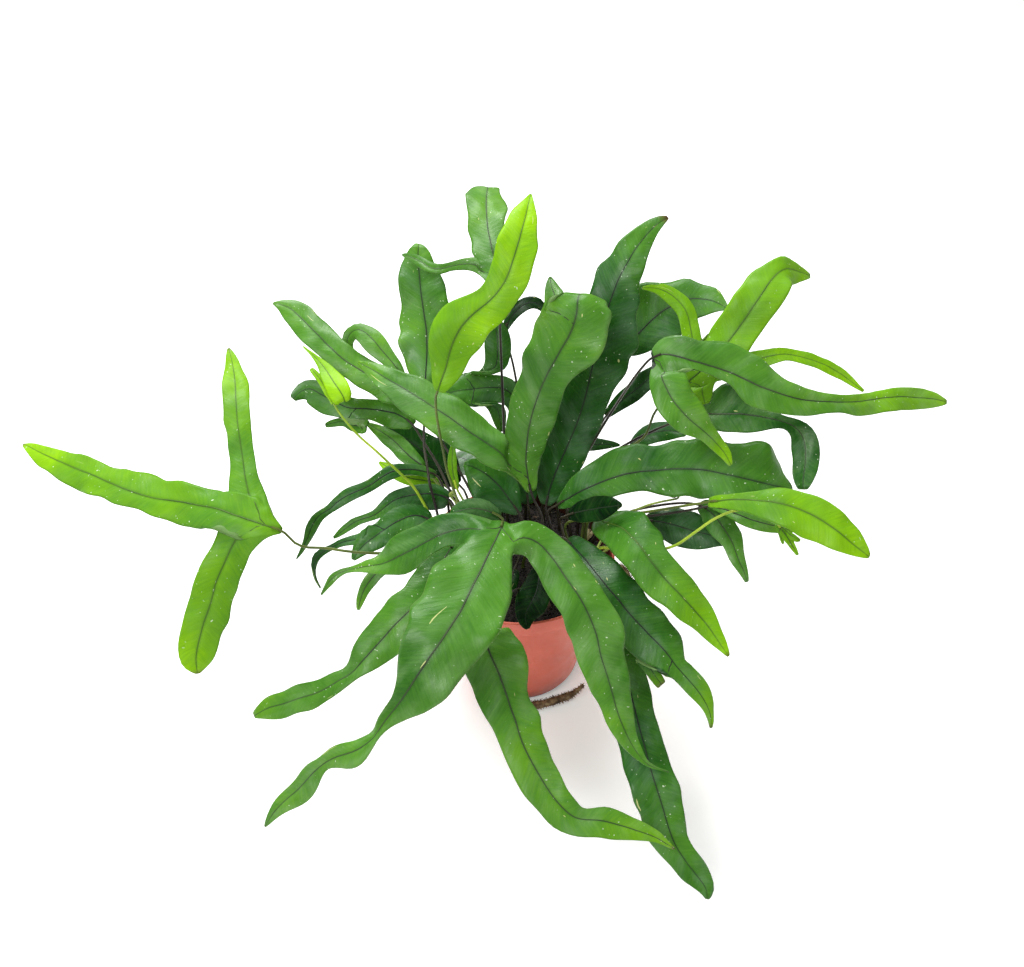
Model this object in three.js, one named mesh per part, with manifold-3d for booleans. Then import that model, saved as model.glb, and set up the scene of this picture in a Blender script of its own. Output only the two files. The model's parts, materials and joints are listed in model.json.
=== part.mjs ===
// A potted fern: long leathery lobed fronds on wiry stipes, in a small nursery pot.
// Millimetres, +Z up, origin at the centre of the pot's underside.

import * as THREE from 'three';
import { mergeVertices } from 'three/addons/utils/BufferGeometryUtils.js';
import Module from 'manifold-3d';

const wasm = await Module();
wasm.setup();

// --- Driving dimensions, mm ---------------------------------------------------
const RIM_RADIUS = 60;          // outside of the pot at its rim: a 12 cm nursery pot
const POT_HEIGHT = 105;
const BASE_RADIUS = 39.5;
const FOOT_ROUND = 5;           // rounded corner between wall and underside
const WALL = 1.8;
const FLOOR_THICKNESS = 2.4;
const FLOOR_FILLET = 4.5;       // where the wall runs into the floor inside
const BAND_HEIGHT = 14;         // the slightly thicker band under the rim
const BAND_STEP = 0.9;
const DRAIN_HOLES = 6;
const DRAIN_HOLE_RADIUS = 4;
const DRAIN_CIRCLE = 26;
const POT_SIDES = 40;

const SOIL_TOP = 93;            // height of the soil at the wall
const SOIL_CROWN = 5;           // how much higher it is heaped at the centre
const SEAT = 0.3;               // clearance between pieces that touch
const CHIP_COUNT = 12;          // bark chips that stand out of the soil
const CHIP_SEED = 7;
const CHIP_CLEARANCE = 6;       // no chip's middle is closer to a stem's
const SOIL_RINGS = 3;

const BLADE_THICKNESS = 0.9;
const ROW_STEP = 16.5;            // length of blade between two rows of its net
const ACROSS = [-1, -0.5, 0, 0.5, 1];  // where a row's points stand, in half widths
const CELLS_ACROSS = ACROSS.length - 1;
const SAMPLES_PER_SPAN = 24;    // of a curve, for measuring its length
const ARCH = 0.10;              // how far a blade's edges fall, as a share of its half width
const WAVE_LENGTH = 38;         // of the undulating edge
const WAVE_SHARE = 0.13;        // its height as a share of the half width
const SIDE_LAG = 2;             // by how many radians the right edge's wave differs
const SKY_SHARE = 0.35;         // how far a blade turns from the viewer to the sky
const WIDEST = 1.35;            // most that a tilted blade is widened
const STEM_RADIUS = 1.25;
const STEM_TAPER = 0.35;        // the share of its radius that a stipe loses to its end
const STEM_SIDES = 4;
const STEM_STEP = 23;           // length of stipe between two rings of its tube
const STEM_DEPTH = 9;           // how deep a stipe stands in the soil
const STEM_UPRIGHT = 5;         // how far it rises straight up from there
const STEM_IN_BLADE = 6;        // how far it runs on under the blade
const HOLE_CLEARANCE = 0.35;
const HOLE_SIDES = 6;
const HOLE_OVERSHOOT = 8;       // how far a hole's cutter rises out of the soil
const RHIZOME_STEP = 7;         // length of rhizome between two rings of its tube
const RHIZOME_SIDES = 8;
const COIL_POINTS = 14;         // of a crozier's curl
const COIL_TURNS = 1.35;
const COIL_TIGHTENING = 0.62;   // the share of its radius that the curl loses
const SAME_POINT = 1e-4;        // corners closer than this are one

// The reference view: the camera's place in mm, its tilt below the horizon, its focal
// length and its centre in pixels. A place on a frond is a pixel of this view and a height.
const EYE = new THREE.Vector3(-5, -461, 587);
const TILT = THREE.MathUtils.degToRad(42.6);
const FOCAL = 1050;
const CENTRE_U = 512;
const CENTRE_V = 483.5;

const UP = new THREE.Vector3(0, 0, 1);
const VIEW_RIGHT = new THREE.Vector3(1, 0, 0);
const VIEW_UP = new THREE.Vector3(0, Math.sin(TILT), Math.cos(TILT));
const VIEW_AXIS = new THREE.Vector3(0, Math.cos(TILT), -Math.sin(TILT));

// --- The fronds ------------------------------------------------------------------
// foot: where the stipe stands in the soil, x and y in mm.
// stem: points of the stipe, [pixel u, pixel v, height in mm].
// line: the midrib, [pixel u, pixel v, height in mm, half width in mm, roll in degrees]. A pair
// of half widths gives the two sides of an uneven blade, first the one on the midrib's left.
// lobes: side lobes; each leaves the edge "at" mm along the midrib, "base" is half its foot.
const FRONDS = [
  {
    name: 'frond_front_left', leaf: 'mid', foot: [2, -8],
    stem: [[533, 540, 132], [520, 540, 165], [507, 533, 190]],
    line: [
      [503, 521, 200, 3], [500, 530, 203, 8], [494, 543, 204, [9.5, 10]],
      [486, 560, 204, [14, 17]], [476, 580, 204, [19, 21]], [462, 608, 202, [20.5, 21.5]],
      [446, 634, 198, [19, 21.5]], [430, 657, 192, [18, 16.5]], [414, 680, 184, [17, 10.5]],
      [403, 697, 175.5, [13, 4.4]], [394, 709, 169, [7.5, 4.5]], [385, 720, 164, 3.6],
      [375, 734, 158, 2.8, 40], [364, 744, 153, [6.5, 4.4], 20], [350, 752, 147, [9.3, 5.6], 0],
      [336, 757, 141, [5, 6.4], -10], [324, 763, 135.5, [2.3, 2.4], -30],
      [313, 773, 129, [5.8, 5.2], -10], [298, 789, 118, [8.2, 4.4]], [284, 801, 110.5, [5.2, 4.4]],
      [273, 813, 104, 3.2], [264, 827, 97.5, 0.8],
    ],
    lobes: [
      {
        at: 15, base: 11.5, line: [
          [469, 528, 203, [9, 8.6]], [452, 530.5, 200.8, [7.6, 9.6]], [435, 537, 197.5, [6.7, 10]],
          [416, 548, 191, [7.8, 11]], [400, 556, 186, [10, 11]], [385, 563, 180, [6.5, 8]],
          [370, 566, 174, 3.6], [352, 569, 166.5, 1.3], [339, 572, 160, 2], [329, 581, 152, 2],
          [321, 595, 144, 0.7],
        ],
      },
      {
        at: 15, base: 11.5, line: [
          [522, 537, 200, 9], [537, 542, 196, [10.6, 9.6]], [551, 556, 192, [11, 10.6]],
          [565, 576, 187, [11.4, 12]], [580, 598, 180, [12.6, 12.4]],
          [590, 617, 174, [13.2, 13.6]], [597, 636, 166.5, [15.8, 13.6]],
          [600, 653, 160, [12.8, 12.2]], [606, 672, 152, [12, 11.4]], [612, 692, 144, [9.4, 9.4]],
          [616, 708, 137, [9.2, 7.7]], [622, 725, 130, [7.2, 6.2]], [632, 745, 121.5, [4.4, 4.8]],
          [646, 764, 112.5, 1], [656, 768, 110.5, 0.5], [669, 772, 108, 0.4],
        ],
      },
    ],
  },
  {
    name: 'frond_left_shade', leaf: 'dark', foot: [-30, 30],
    stem: [[464, 490, 113]],
    line: [
      [458, 484, 116, 4], [448, 474, 121, 11], [436, 462, 126, 14], [420, 449, 131, 13],
      [405, 438, 135, 10], [392, 429, 138, 5], [384, 425, 139, 1],
    ],
    lobes: [],
  },
  {
    name: 'frond_crown_hump', leaf: 'mid', foot: [-12, -26],
    stem: [[500, 535, 150], [503, 524, 170]],
    line: [
      [501, 517, 183, 3], [489, 511, 188, 6], [476, 508, 190, 6.8], [463, 510, 190, 5.6],
      [451, 514, 188, 2],
    ],
    lobes: [],
  },
  {
    name: 'frond_far_left', leaf: 'bright', foot: [-18, -6],
    stem: [
      [470, 548, 138], [430, 550, 152], [395, 553, 162], [368, 553, 167], [345, 551, 170],
      [325, 548, 173], [305, 547, 175], [295, 543, 178], [287, 535, 183],
    ],
    line: [
      [282, 531, 186, 2], [272, 527, 189, 5], [262, 524, 191, [8, 9]], [250, 520, 192, 12],
      [235, 515, 193, 13], [220, 510, 193, 13], [200, 505, 192, [12.5, 11]],
      [183, 502, 191, [12, 10.5]], [158, 499, 189, [9.5, 11]], [141, 495, 188, [7.5, 15]],
      [121, 488, 186, [9, 12]], [99, 478, 184, [10.5, 9.5]], [73, 467, 180.5, [10.5, 9]],
      [48, 456, 176.5, [7.5, 6]], [32, 448, 173.5, [4, 3.5]], [23, 444, 172, 0.8],
    ],
    lobes: [
      {
        at: 24, base: 17, line: [
          [250, 498, 195, [13, 9]], [245, 475, 200, [8, 7]], [241.5, 450, 206, 6.4],
          [238, 428, 213, 7], [236, 402, 218, 7.8], [235, 380, 222, 7.2], [232.5, 364, 225, 4.6],
          [229, 349, 228, 0.8],
        ],
      },
      {
        at: 24, base: 17, line: [
          [241, 532, 188, [12, 14]], [231, 548, 181, [9.5, 10]], [224, 565, 174, 11],
          [215.5, 583, 166, 11], [211.5, 602, 158, 11], [205, 619, 150, 11.3], [199, 642, 140, 11],
          [195.5, 660, 132, 9.3], [197, 670, 128, 5.5], [197.5, 674, 126, 1.5],
        ],
      },
    ],
  },
  {
    name: 'frond_back_bright', leaf: 'bright', foot: [-24, 6],
    stem: [
      [464, 520, 138], [459, 505, 148], [453, 488, 160], [447, 470, 173], [443, 450, 187],
      [439, 430, 202], [436, 410, 215], [436, 395, 226],
    ],
    line: [
      [438, 391, 230, [2, 4]], [441, 381, 235, [5, 7.5]], [445, 370, 240, [8, 9.5]],
      [450, 350, 250, [12.5, 12.5]], [456, 335, 258, [15.5, 14]], [465, 322, 265, [15, 14.5]],
      [475, 312, 270, [11, 14]], [487, 303, 275, [8, 12.5]], [497, 293, 280, [8.5, 11]],
      [507, 277, 287, [10.3, 12]], [513, 260, 294, [11, 11.5]], [520, 237, 302, [10.8, 10.4]],
      [526, 214, 308, [8.2, 6]], [531, 192, 312, 0.8],
    ],
    lobes: [],
  },
  {
    name: 'frond_back_tall', leaf: 'mid', foot: [-8, 34],
    stem: [[505, 470, 140], [504, 430, 170], [502, 380, 200], [500, 330, 224], [499, 300, 236]],
    line: [
      [498, 292, 239, 3], [497, 278, 243, [8, 10]], [495, 262, 248, [11, 12]],
      [491, 244, 254, [12.5, 11]], [488, 228, 259, [12, 8.5]], [486.5, 214, 263, [12.5, 14]],
      [486, 203, 265, [13, 14.5]], [487, 194, 266.5, [13.5, 9]], [488, 186, 266, [11, 8.5]],
    ],
    lobes: [
      {
        at: 18, base: 7, line: [
          [477, 264, 247, [4.5, 5.5]], [465, 264, 247, 3.8], [452, 266, 246.5, 2.6],
          [440, 270, 246, 2.3], [430, 268, 246, 3.2], [420, 261, 247, 3.6], [411, 257, 247.5, 2.6],
          [402, 254.5, 248, 0.6],
        ],
      },
    ],
  },
  {
    name: 'frond_back_left', leaf: 'dark', foot: [-34, 4],
    stem: [
      [441, 526, 126], [437, 512, 132], [434, 500, 138], [430, 485, 146], [427, 465, 154],
      [424, 445, 162], [424, 425, 170], [424, 400, 180],
    ],
    line: [
      [425, 392, 184, 4], [426, 374, 192, [11, 9]], [427, 354, 200, [16, 14]],
      [427, 337, 207, [18, 17]], [425, 320, 214, [16, 17]], [422, 302, 221, [14, 17]],
      [420, 285, 228, [14, 15.5]], [419, 270, 234, 12.5], [418, 257, 239, [9.5, 9]],
      [418, 249, 242, [6.5, 7]], [419, 244, 244, 2.5],
    ],
    lobes: [],
  },
  {
    name: 'frond_left_long', leaf: 'mid', foot: [-20, 22],
    stem: [[470, 490, 134], [450, 455, 148], [430, 425, 160], [414, 408, 168]],
    line: [
      [406, 401, 172, 3], [398, 395, 176, 8], [385, 385, 181, 9.5], [362, 371, 187, 9.5],
      [342, 358, 192, 9], [328, 345, 196, 9.5], [314, 331, 200, 10], [300, 317, 203, 9],
      [288, 307, 205, 7], [273, 303, 206, 0.9],
    ],
    lobes: [
      {
        at: 9, base: 6, line: [
          [398, 369, 188, [5, 4.2]], [387, 356, 193, [5.5, 5]], [377, 344, 198, [9, 6]],
          [368, 334, 201, [8, 6.6]], [358, 329, 202, [5.5, 5.6]], [350, 333, 199, [5, 5]],
          [346, 342, 194, [4.5, 4]], [350, 351, 189, 2.4], [355, 355, 186.5, 1],
        ],
      },
    ],
  },
  {
    name: 'frond_centre', leaf: 'mid', foot: [13, -6],
    stem: [[543, 528, 127], [542, 518, 132], [539, 510, 138], [534, 500, 146]],
    line: [
      [531, 492, 151, 3], [528, 478, 161, [6, 7]], [526, 462, 172, [9.5, 9.5]],
      [527, 445, 184, [13, 11]], [529, 428, 195, [14, 12.5]], [533, 411, 206, [14.5, 13.5]],
      [538, 396, 217, [14.5, 13.5]], [544, 381, 228, [15.5, 13]], [552, 366, 238, [18, 13.5]],
      [560, 352, 247, [20.5, 16]], [567, 340, 254, [20.5, 20]], [573, 327, 261, [19.5, 20]],
      [576.5, 314, 267, [18.5, 19.5]], [577.5, 303, 271, [17.5, 19]], [579, 293, 274, [9.5, 16.5]],
    ],
    lobes: [
      {
        at: 20, base: 12, line: [
          [500, 452, 182, 10.5], [485, 442, 187, 11], [467, 430, 192, 12], [450, 418, 196, 12.5],
          [433, 407, 200, 12.5], [416, 396, 203, 12], [400, 386, 205, 10], [385, 377, 207, 7.5],
          [370, 368, 208, 5], [358, 362, 209, 1],
        ],
      },
      {
        at: 125, base: 8, line: [
          [557, 297, 273, 6.5], [552, 289, 274.5, 4.6], [550.5, 283, 275.5, 2.5],
          [550, 277, 276.5, 0.6],
        ],
      },
    ],
  },
  {
    name: 'frond_left_young', leaf: 'bright', foot: [-41, -4],
    stem: [
      [430, 515, 130], [420, 497, 140], [412, 485, 148], [403, 476, 154], [390, 464, 161],
      [375, 450, 169], [360, 437, 177], [347, 423, 184], [338, 411, 189],
    ],
    line: [
      [334, 404, 192, 1.6], [329, 394, 195, 2.6], [323, 383, 198, 2.2], [316, 374, 201, 2],
      [311, 368, 203, 1.5],
    ],
    lobes: [
      {
        at: 4.5, base: 4, line: [
          [346, 402, 194, [5, 4]], [342, 394, 197, [7.6, 6.6]], [334, 383, 200, [6.4, 7]],
          [328, 372.5, 202, [5.2, 5.8]], [321, 363, 204, [2.4, 2.8]], [312, 354, 206, 1.5],
          [303, 346, 207, 0.6],
        ],
      },
    ],
  },
  {
    name: 'frond_left_upper_dark', leaf: 'dark', foot: [-30, 16],
    stem: [[452, 495, 130], [436, 462, 142], [420, 436, 150]],
    line: [
      [413, 425, 154, 4], [401, 415, 158, [11, 8.4]], [386, 411, 160, [9, 7.2]],
      [368, 409, 162, [6.4, 6.4]], [350, 408, 163, [7, 7]], [334, 401, 165, [9.8, 7.6]],
      [320, 394, 167, [10.4, 8]], [309, 388, 168, [9.4, 8.2]], [300, 392, 167, [5, 5.4]],
      [293, 399, 166, 2.4],
    ],
    lobes: [
      {
        at: 44, base: 5, line: [
          [368, 427, 157, 5], [355, 426, 154, 4], [344, 421.5, 152, 2.6], [334, 422.5, 151, 3],
          [325, 425, 150, 1.6],
        ],
      },
    ],
  },
  {
    name: 'frond_left_upper_green', leaf: 'mid', foot: [-38, 12],
    stem: [[452, 508, 124], [442, 490, 130], [430, 474, 136]],
    line: [
      [424, 467, 139, 2.5], [414, 460, 142, 5], [403, 450, 145, 6.5], [392, 439, 147, 6],
      [380, 431, 148, 4.5], [368, 424, 149, 1.2],
    ],
    lobes: [],
  },
  {
    name: 'frond_left_narrow', leaf: 'dark', foot: [-44, 5],
    stem: [[448, 505, 127], [444, 490, 134], [440, 480, 139]],
    line: [
      [436, 475, 142, 2.5], [424, 471, 146, 3.4], [408, 469, 149, 3.4], [394, 471, 151, 4.2],
      [382, 477, 150, 3.6], [368, 487, 149, 3.4], [354, 493, 147, 4], [343, 498, 145, 4.4],
      [336, 503, 143, [4, 3]], [329, 510, 141, 2.2], [320, 514, 138, [3.4, 3]],
      [314, 521, 134.5, 4], [310, 531, 130, [3.6, 3.2]], [306, 541, 125, 2.2],
      [302, 549, 121.5, 1], [296, 559, 118, 0.5],
    ],
    lobes: [],
  },
  {
    name: 'frond_left_yellow_under', leaf: 'bright', foot: [-36, 24],
    stem: [[458, 500, 118], [450, 490, 121]],
    line: [
      [442, 484, 124, 2], [428, 481, 128, 4.5], [412, 479, 131, 5], [397, 473, 134, 4.5],
      [386, 466, 136, 3], [379, 462, 137, 0.9],
    ],
    lobes: [],
  },
  {
    name: 'frond_left_dark', leaf: 'dark', foot: [-42, -13],
    stem: [[462, 522, 124], [455, 508, 130]],
    line: [
      [449, 499, 134, [7, 4]], [436, 494, 137, [11, 7]], [420, 494, 139, [8, 6.4]],
      [404, 496, 140, [7.4, 5]], [392, 501, 140, [5.6, 6]], [382, 509, 138.5, [5, 3]],
      [373, 516, 137, 2.4], [362, 519, 136, 2.6], [352, 523, 133, 3.2], [345, 530, 130, 2.6],
      [334, 538, 126, 0.8],
    ],
    lobes: [],
  },
  {
    name: 'frond_left_low_dark', leaf: 'dark', foot: [-36, -22],
    stem: [[468, 545, 124], [450, 536, 134], [438, 527, 140]],
    line: [
      [430, 520, 143, 4], [417, 515, 146, 8], [402, 519, 147, 8.5], [388, 527, 146, 8],
      [373, 538, 143, 7.5], [360, 548, 139, 6], [353, 560, 134, 1.2],
    ],
    lobes: [
      {
        at: 34, base: 4, line: [
          [360, 540, 141, 3.4], [346, 541, 138, [2.8, 2.4]], [334, 545, 135, 2],
          [325, 551, 131.5, 1.6], [319, 555, 129, [1.4, 4.6]], [314.5, 561, 126, [1.3, 3.6]],
          [313.5, 569, 123, 1.1], [314.5, 579, 118.5, 1], [321, 588, 114, 0.6],
        ],
      },
    ],
  },
  {
    name: 'frond_left_hanging', leaf: 'mid', foot: [-30, -31],
    stem: [[455, 575, 122], [430, 570, 136], [405, 566, 142]],
    line: [
      [388, 567, 142, 3], [378, 571, 138, 4.5], [370, 580, 131, 4], [363, 592, 124, 3.6],
      [358, 610, 116, 0.9],
    ],
    lobes: [],
  },
  {
    name: 'frond_front_left_under', leaf: 'mid', foot: [-22, -30],
    stem: [[482, 572, 130], [470, 560, 142], [460, 548, 150]],
    line: [
      [455, 542, 153, 4], [446, 555, 156, 8], [437, 575, 156, 11.5], [424, 596, 152, 12],
      [406, 614, 147, 12], [388, 632, 141, 12], [374, 648, 135, 11.5], [363, 661, 130, 8],
      [352, 672, 125, 4.5, 25], [337, 682, 120, 6, 10], [320, 692, 114, 7], [301, 698, 108, 7.5],
      [282, 704, 102, 7.5], [266, 709, 97, 6], [254, 716, 92, 2],
    ],
    lobes: [],
  },
  {
    name: 'frond_front', leaf: 'mid', foot: [2, -32],
    stem: [[516, 590, 128], [500, 600, 142], [488, 608, 148]],
    line: [
      [483, 634, 145, [17, 14]], [490, 655, 139, [18, 17]], [498, 672, 134, [16.5, 16]],
      [505, 690, 128.5, [14.3, 15]], [510, 705, 124, [9.9, 14]], [515, 720, 118.5, [13.3, 13]],
      [520, 737, 113, [11.8, 11.8]], [527, 753, 108, [12.3, 11.3]], [540, 776, 101, [10, 12.3]],
      [554, 798, 95, [8, 10.3]], [565, 810, 92, [8, 11.2]], [576, 818, 90, [6.6, 10.6]],
      [590, 819, 88.5, [4.3, 8.8]], [605, 821, 87, [8.4, 9]], [620, 825, 85, [6.6, 7.4]],
      [640, 832, 81.5, [4.7, 3.8]], [656, 838, 77.5, [3.4, 1.8]], [675, 849, 71.5, 0.8],
    ],
    lobes: [],
  },
  {
    name: 'frond_front_right', leaf: 'dark', foot: [20, -28],
    stem: [[548, 582, 122], [570, 597, 126], [592, 617, 124]],
    line: [
      [604, 630, 120, 4], [616, 652, 114, 9], [627, 680, 107, 12], [635, 710, 100, [10.6, 13.5]],
      [643, 740, 92, [10.3, 13.8]], [651, 770, 84, [11.8, 14]], [660, 798, 77, [12, 13.5]],
      [668, 825, 67, [10.3, 13]], [674, 842, 60.5, [7.6, 10.5]], [683, 857, 55, [7.6, 9]],
      [694, 872, 49, [8.6, 7]], [703, 884, 44, [6.5, 5]], [708, 892, 41.5, [4.2, 3.4]],
      [707, 899, 39.5, 1],
    ],
    lobes: [],
  },
  {
    name: 'frond_right_low_dark', leaf: 'dark', foot: [28, -16],
    stem: [[551, 540, 126], [560, 537, 136]],
    line: [
      [567, 540, 142, 5], [578, 551, 147, 9.5], [593, 569, 149, 13], [609, 589, 147, 14.5],
      [627, 610, 142, [13.6, 15.5]], [642, 627, 137, [14.2, 15]], [656, 641, 132, [14, 13.5]],
      [668, 655, 127.5, [10.8, 10]], [678, 668, 123, [6, 6.2]], [688, 679, 118.5, [6.6, 5.6]],
      [698, 691, 113, [7.4, 5.4]], [706, 704, 107.5, [5, 3.4]], [711, 715, 103, [2.4, 2.2]],
      [711, 728, 98, 0.8],
    ],
    lobes: [
      {
        at: 106, base: 5, line: [
          [640, 656, 121, 4.2], [650, 667, 116, 4], [656, 677, 111, 3.6], [662, 685, 107, 3.2],
        ],
      },
    ],
  },
  {
    name: 'frond_right_low', leaf: 'bright', foot: [36, -6],
    stem: [[565, 526, 124], [582, 519, 136]],
    line: [
      [597, 519, 147, 5], [606, 523, 153, 10], [618, 526, 160, [13, 12]],
      [633, 538, 166, [14.5, 13]], [650, 560, 164, [12, 13.5]], [665, 578, 159, [10, 13]],
      [680, 595, 153, [11, 10.5]], [694, 610, 147, [10, 8.6]], [705, 622, 142, [7.8, 6.2]],
      [714, 634, 138, [5, 6]], [720, 644, 134.5, [4, 3.4]], [729, 656, 131, 1],
    ],
    lobes: [],
  },
  {
    name: 'frond_centre_dark', leaf: 'dark', foot: [24, 4],
    stem: [[546, 511, 128]],
    line: [
      [546, 505, 132, 4], [550, 488, 141, [10.5, 9.5]], [559, 465, 155, [14.5, 12.5]],
      [570, 440, 172, 13.5], [580, 415, 187, 14], [587, 390, 202, 14], [592, 367, 215, [14, 20]],
      [598, 342, 229, [14, 23]], [605, 318, 242, [14, 20]], [611, 298, 252, [13, 17]],
      [619, 279, 262, [14.5, 12.5]], [628, 262, 270, [11.5, 9.5]], [637, 247, 276, [9.5, 8]],
      [649, 232, 281, [7.5, 5]], [659, 223, 284, [5.5, 3]], [668, 217, 286, 1.2],
    ],
    lobes: [],
  },
  {
    name: 'frond_back_wavy', leaf: 'dark', foot: [26, 28],
    stem: [[556, 476, 132], [570, 440, 148], [586, 405, 166], [602, 376, 184], [615, 360, 197]],
    line: [
      [624, 350, 206, 6], [636, 337, 213, [16, 14]], [650, 322, 221, [20, 17]],
      [664, 310, 228, [22, 18]], [674, 303.5, 231.5, [15, 17]], [681, 300.5, 233.5, [9.5, 15.5]],
      [690, 298.5, 235, [17, 13.5]], [698, 298, 235.7, [7.6, 13]], [706, 299, 236, [8.2, 12]],
      [713, 300.5, 236, [11, 9]], [718, 303, 235.5, [4.6, 6]], [728, 309, 234, 1],
    ],
    lobes: [],
  },
  {
    name: 'frond_right_bright', leaf: 'bright', foot: [40, 14],
    stem: [
      [592, 486, 132], [612, 466, 150], [632, 446, 166], [645, 436, 175], [655, 412, 190],
      [668, 398, 200], [680, 388, 208],
    ],
    line: [
      [686, 384, 212, 4], [698, 374, 219, 9], [714, 358, 228, 12], [728, 342, 237, 13],
      [741, 324, 246, 12.5], [755, 304, 256, 12.5], [766, 287, 263, [13, 12.6]],
      [775, 275, 267, [10.5, 12]], [783, 269, 268, [8, 9.5]], [795, 269, 265, [5.6, 7.6]],
      [804, 272, 261, [3.4, 4.6]], [812, 275, 257, 1.4],
    ],
    lobes: [
      {
        at: 26, base: 5, line: [
          [694, 346, 232, 5.5], [691, 330, 239, 5.6], [688, 315, 245, 5.6], [680, 302, 250, 5.2],
          [668, 293, 253, 4.6], [655, 288, 255, 2.8], [642, 288, 256, 0.8],
        ],
      },
      {
        at: 20, base: 6.5, line: [
          [734, 366, 222, 6], [748, 362, 225, 5.5], [765, 357, 229, 5], [785, 354, 231, 3.8],
          [805, 358, 230, 3.4], [825, 365, 227, 3.6], [845, 376, 222, 3], [864, 391, 216, 0.9],
        ],
      },
      {
        at: 8, base: 7, line: [
          [700, 388, 214, 7.2], [703, 396, 210, 6.5], [705, 404, 206, 3],
        ],
      },
    ],
  },
  {
    name: 'frond_right_arching', leaf: 'mid', foot: [33, 20],
    stem: [
      [566, 486, 126], [585, 456, 146], [604, 424, 171], [622, 396, 200], [637, 374, 228],
      [648, 361, 244],
    ],
    line: [
      [652, 358, 249, 3], [662, 354, 253, 9.5], [676, 356, 254, [11, 9]],
      [692, 361, 253, [12.8, 5]], [710, 366, 251, [14, 4.2]], [728, 372, 248, [15.6, 4.6]],
      [745, 380, 245, [15.2, 7.5]], [762, 388, 242, [12.6, 12]], [780, 394, 239, [9, 11]],
      [800, 399, 236, [6.6, 8.8]], [820, 401, 233, [5, 6]], [842, 402, 229, [3.8, 6.4]],
      [860, 401, 226, [3.4, 8.2]], [880, 398, 223, [4.6, 8]], [905, 397, 219, [5.4, 7.4]],
      [926, 398, 216, [5.4, 6]], [940, 400, 213.5, [3.4, 3.6]], [947, 402, 212, 1.4],
    ],
    lobes: [
      {
        at: 11, base: 16, line: [
          [660, 376, 247, [13, 7.5]], [668, 392, 242, [13, 8]], [678, 407, 237, [12, 9.8]],
          [690, 420, 231, [10.5, 9.2]], [703, 431, 225, [7.2, 4.6]], [713, 440, 219, [5, 3.6]],
          [724, 452, 213, 3.7], [731, 465, 207, 1.4],
        ],
      },
    ],
  },
  {
    name: 'frond_right_grey', leaf: 'mid', foot: [38, 26],
    stem: [[590, 470, 136], [620, 448, 156], [655, 430, 176], [680, 420, 190]],
    line: [
      [690, 417, 195, 4], [702, 414, 199, [9, 8.5]], [714, 414, 201.5, [17, 9]],
      [726, 414, 203, [20, 9.5]], [742, 414, 204.5, [15, 10]], [756, 415.5, 205, [9, 10.4]],
      [768, 418, 205, [5, 8]], [779, 421, 205, [2.8, 3]], [787, 423, 204, [3, 2.4]],
      [797, 428, 202, [6.4, 5.5]], [804, 438, 198, 7.6], [806, 452, 193, 8], [805, 467, 187, 7.7],
      [803, 480, 182, 6.2], [803, 489.5, 178.5, 3],
    ],
    lobes: [],
  },
  {
    name: 'frond_right_glossy', leaf: 'dark', foot: [28, -4],
    stem: [[548, 512, 134]],
    line: [
      [557, 505, 141, 3], [568, 498, 148, [6.5, 6]], [582, 491, 154, [11.5, 8]],
      [600, 483, 160, [15, 10.5]], [620, 476, 165, [17.5, 11.5]], [638, 472, 168, [17.5, 10.5]],
      [655, 470, 170, [13.5, 13.5]], [668, 469, 171, [16.5, 16]], [685, 469, 173, [18.5, 17]],
      [705, 470, 174, [19, 16]], [727, 475, 175, [21.5, 13]], [746, 480, 174, [22.5, 10.5]],
      [764, 485, 172, [24.5, 8.5]], [778, 488, 169, [20, 5.5]], [788, 490, 166.5, [14, 2.5]],
      [793, 490, 165.5, [4, 0.8]],
    ],
    lobes: [],
  },
  {
    name: 'frond_right_young', leaf: 'bright', foot: [42, 0],
    stem: [
      [590, 518, 134], [620, 515, 150], [646, 512, 163], [677, 507, 177], [702, 503, 187],
      [718, 500, 193],
    ],
    line: [
      [708, 502, 190, 3.2], [728, 500, 196, [3.4, 4.4]], [742, 499, 199, [2.6, 6.8]],
      [758, 500, 202, [5.4, 7.8]], [776, 502, 204, [8, 10.4]], [795, 507, 204, [9.8, 12.6]],
      [815, 516, 202, [10.2, 12.6]], [833, 528, 199, [10, 10.4]], [848, 540, 195, [8.6, 7.6]],
      [860, 550, 191, [5.8, 4.6]], [869, 557, 188, 1],
    ],
    lobes: [],
  },
  {
    name: 'frond_right_star', leaf: 'bright', foot: [40, -14],
    stem: [
      [600, 548, 134], [636, 552, 148], [674, 546, 162], [694, 533, 171], [716, 518, 180],
      [738, 510, 186], [756, 512, 188], [770, 518, 187],
    ],
    line: [
      [776, 523, 186, 1.4], [781, 529, 184, 2.2], [787, 537, 181, 2.4], [793, 547, 177, 1.6],
      [798, 555, 174, 0.8],
    ],
    lobes: [
      { at: 5, base: 2.2, line: [[791, 537, 183, 1.6], [800, 541, 182, 0.7]] },
      { at: 5, base: 2.2, line: [[782, 538, 180, 1.4], [783, 544, 178, 0.7]] },
    ],
  },
  {
    name: 'frond_right_pale', leaf: 'mid', foot: [45, 7],
    stem: [[610, 520, 128], [650, 516, 142], [690, 510, 155]],
    line: [
      [712, 506, 161, 2], [728, 510, 164, 3.5], [745, 517, 165, 4.8], [763, 523, 165, 5],
      [782, 527, 164, 4], [799, 530, 162, 0.9],
    ],
    lobes: [],
  },
  {
    name: 'frond_right_under_dark', leaf: 'dark', foot: [44, -8],
    stem: [[618, 530, 124], [634, 524, 132]],
    line: [
      [644, 520, 136, 4], [658, 521, 139, 9], [675, 525, 141, 12], [693, 531, 141, 11],
      [710, 535, 140, 8], [724, 540, 138, 4], [734, 545, 136, 1],
    ],
    lobes: [],
  },
  {
    name: 'frond_right_hanging', leaf: 'mid', foot: [46, 13],
    stem: [[625, 514, 126], [655, 506, 138], [685, 503, 147]],
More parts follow.
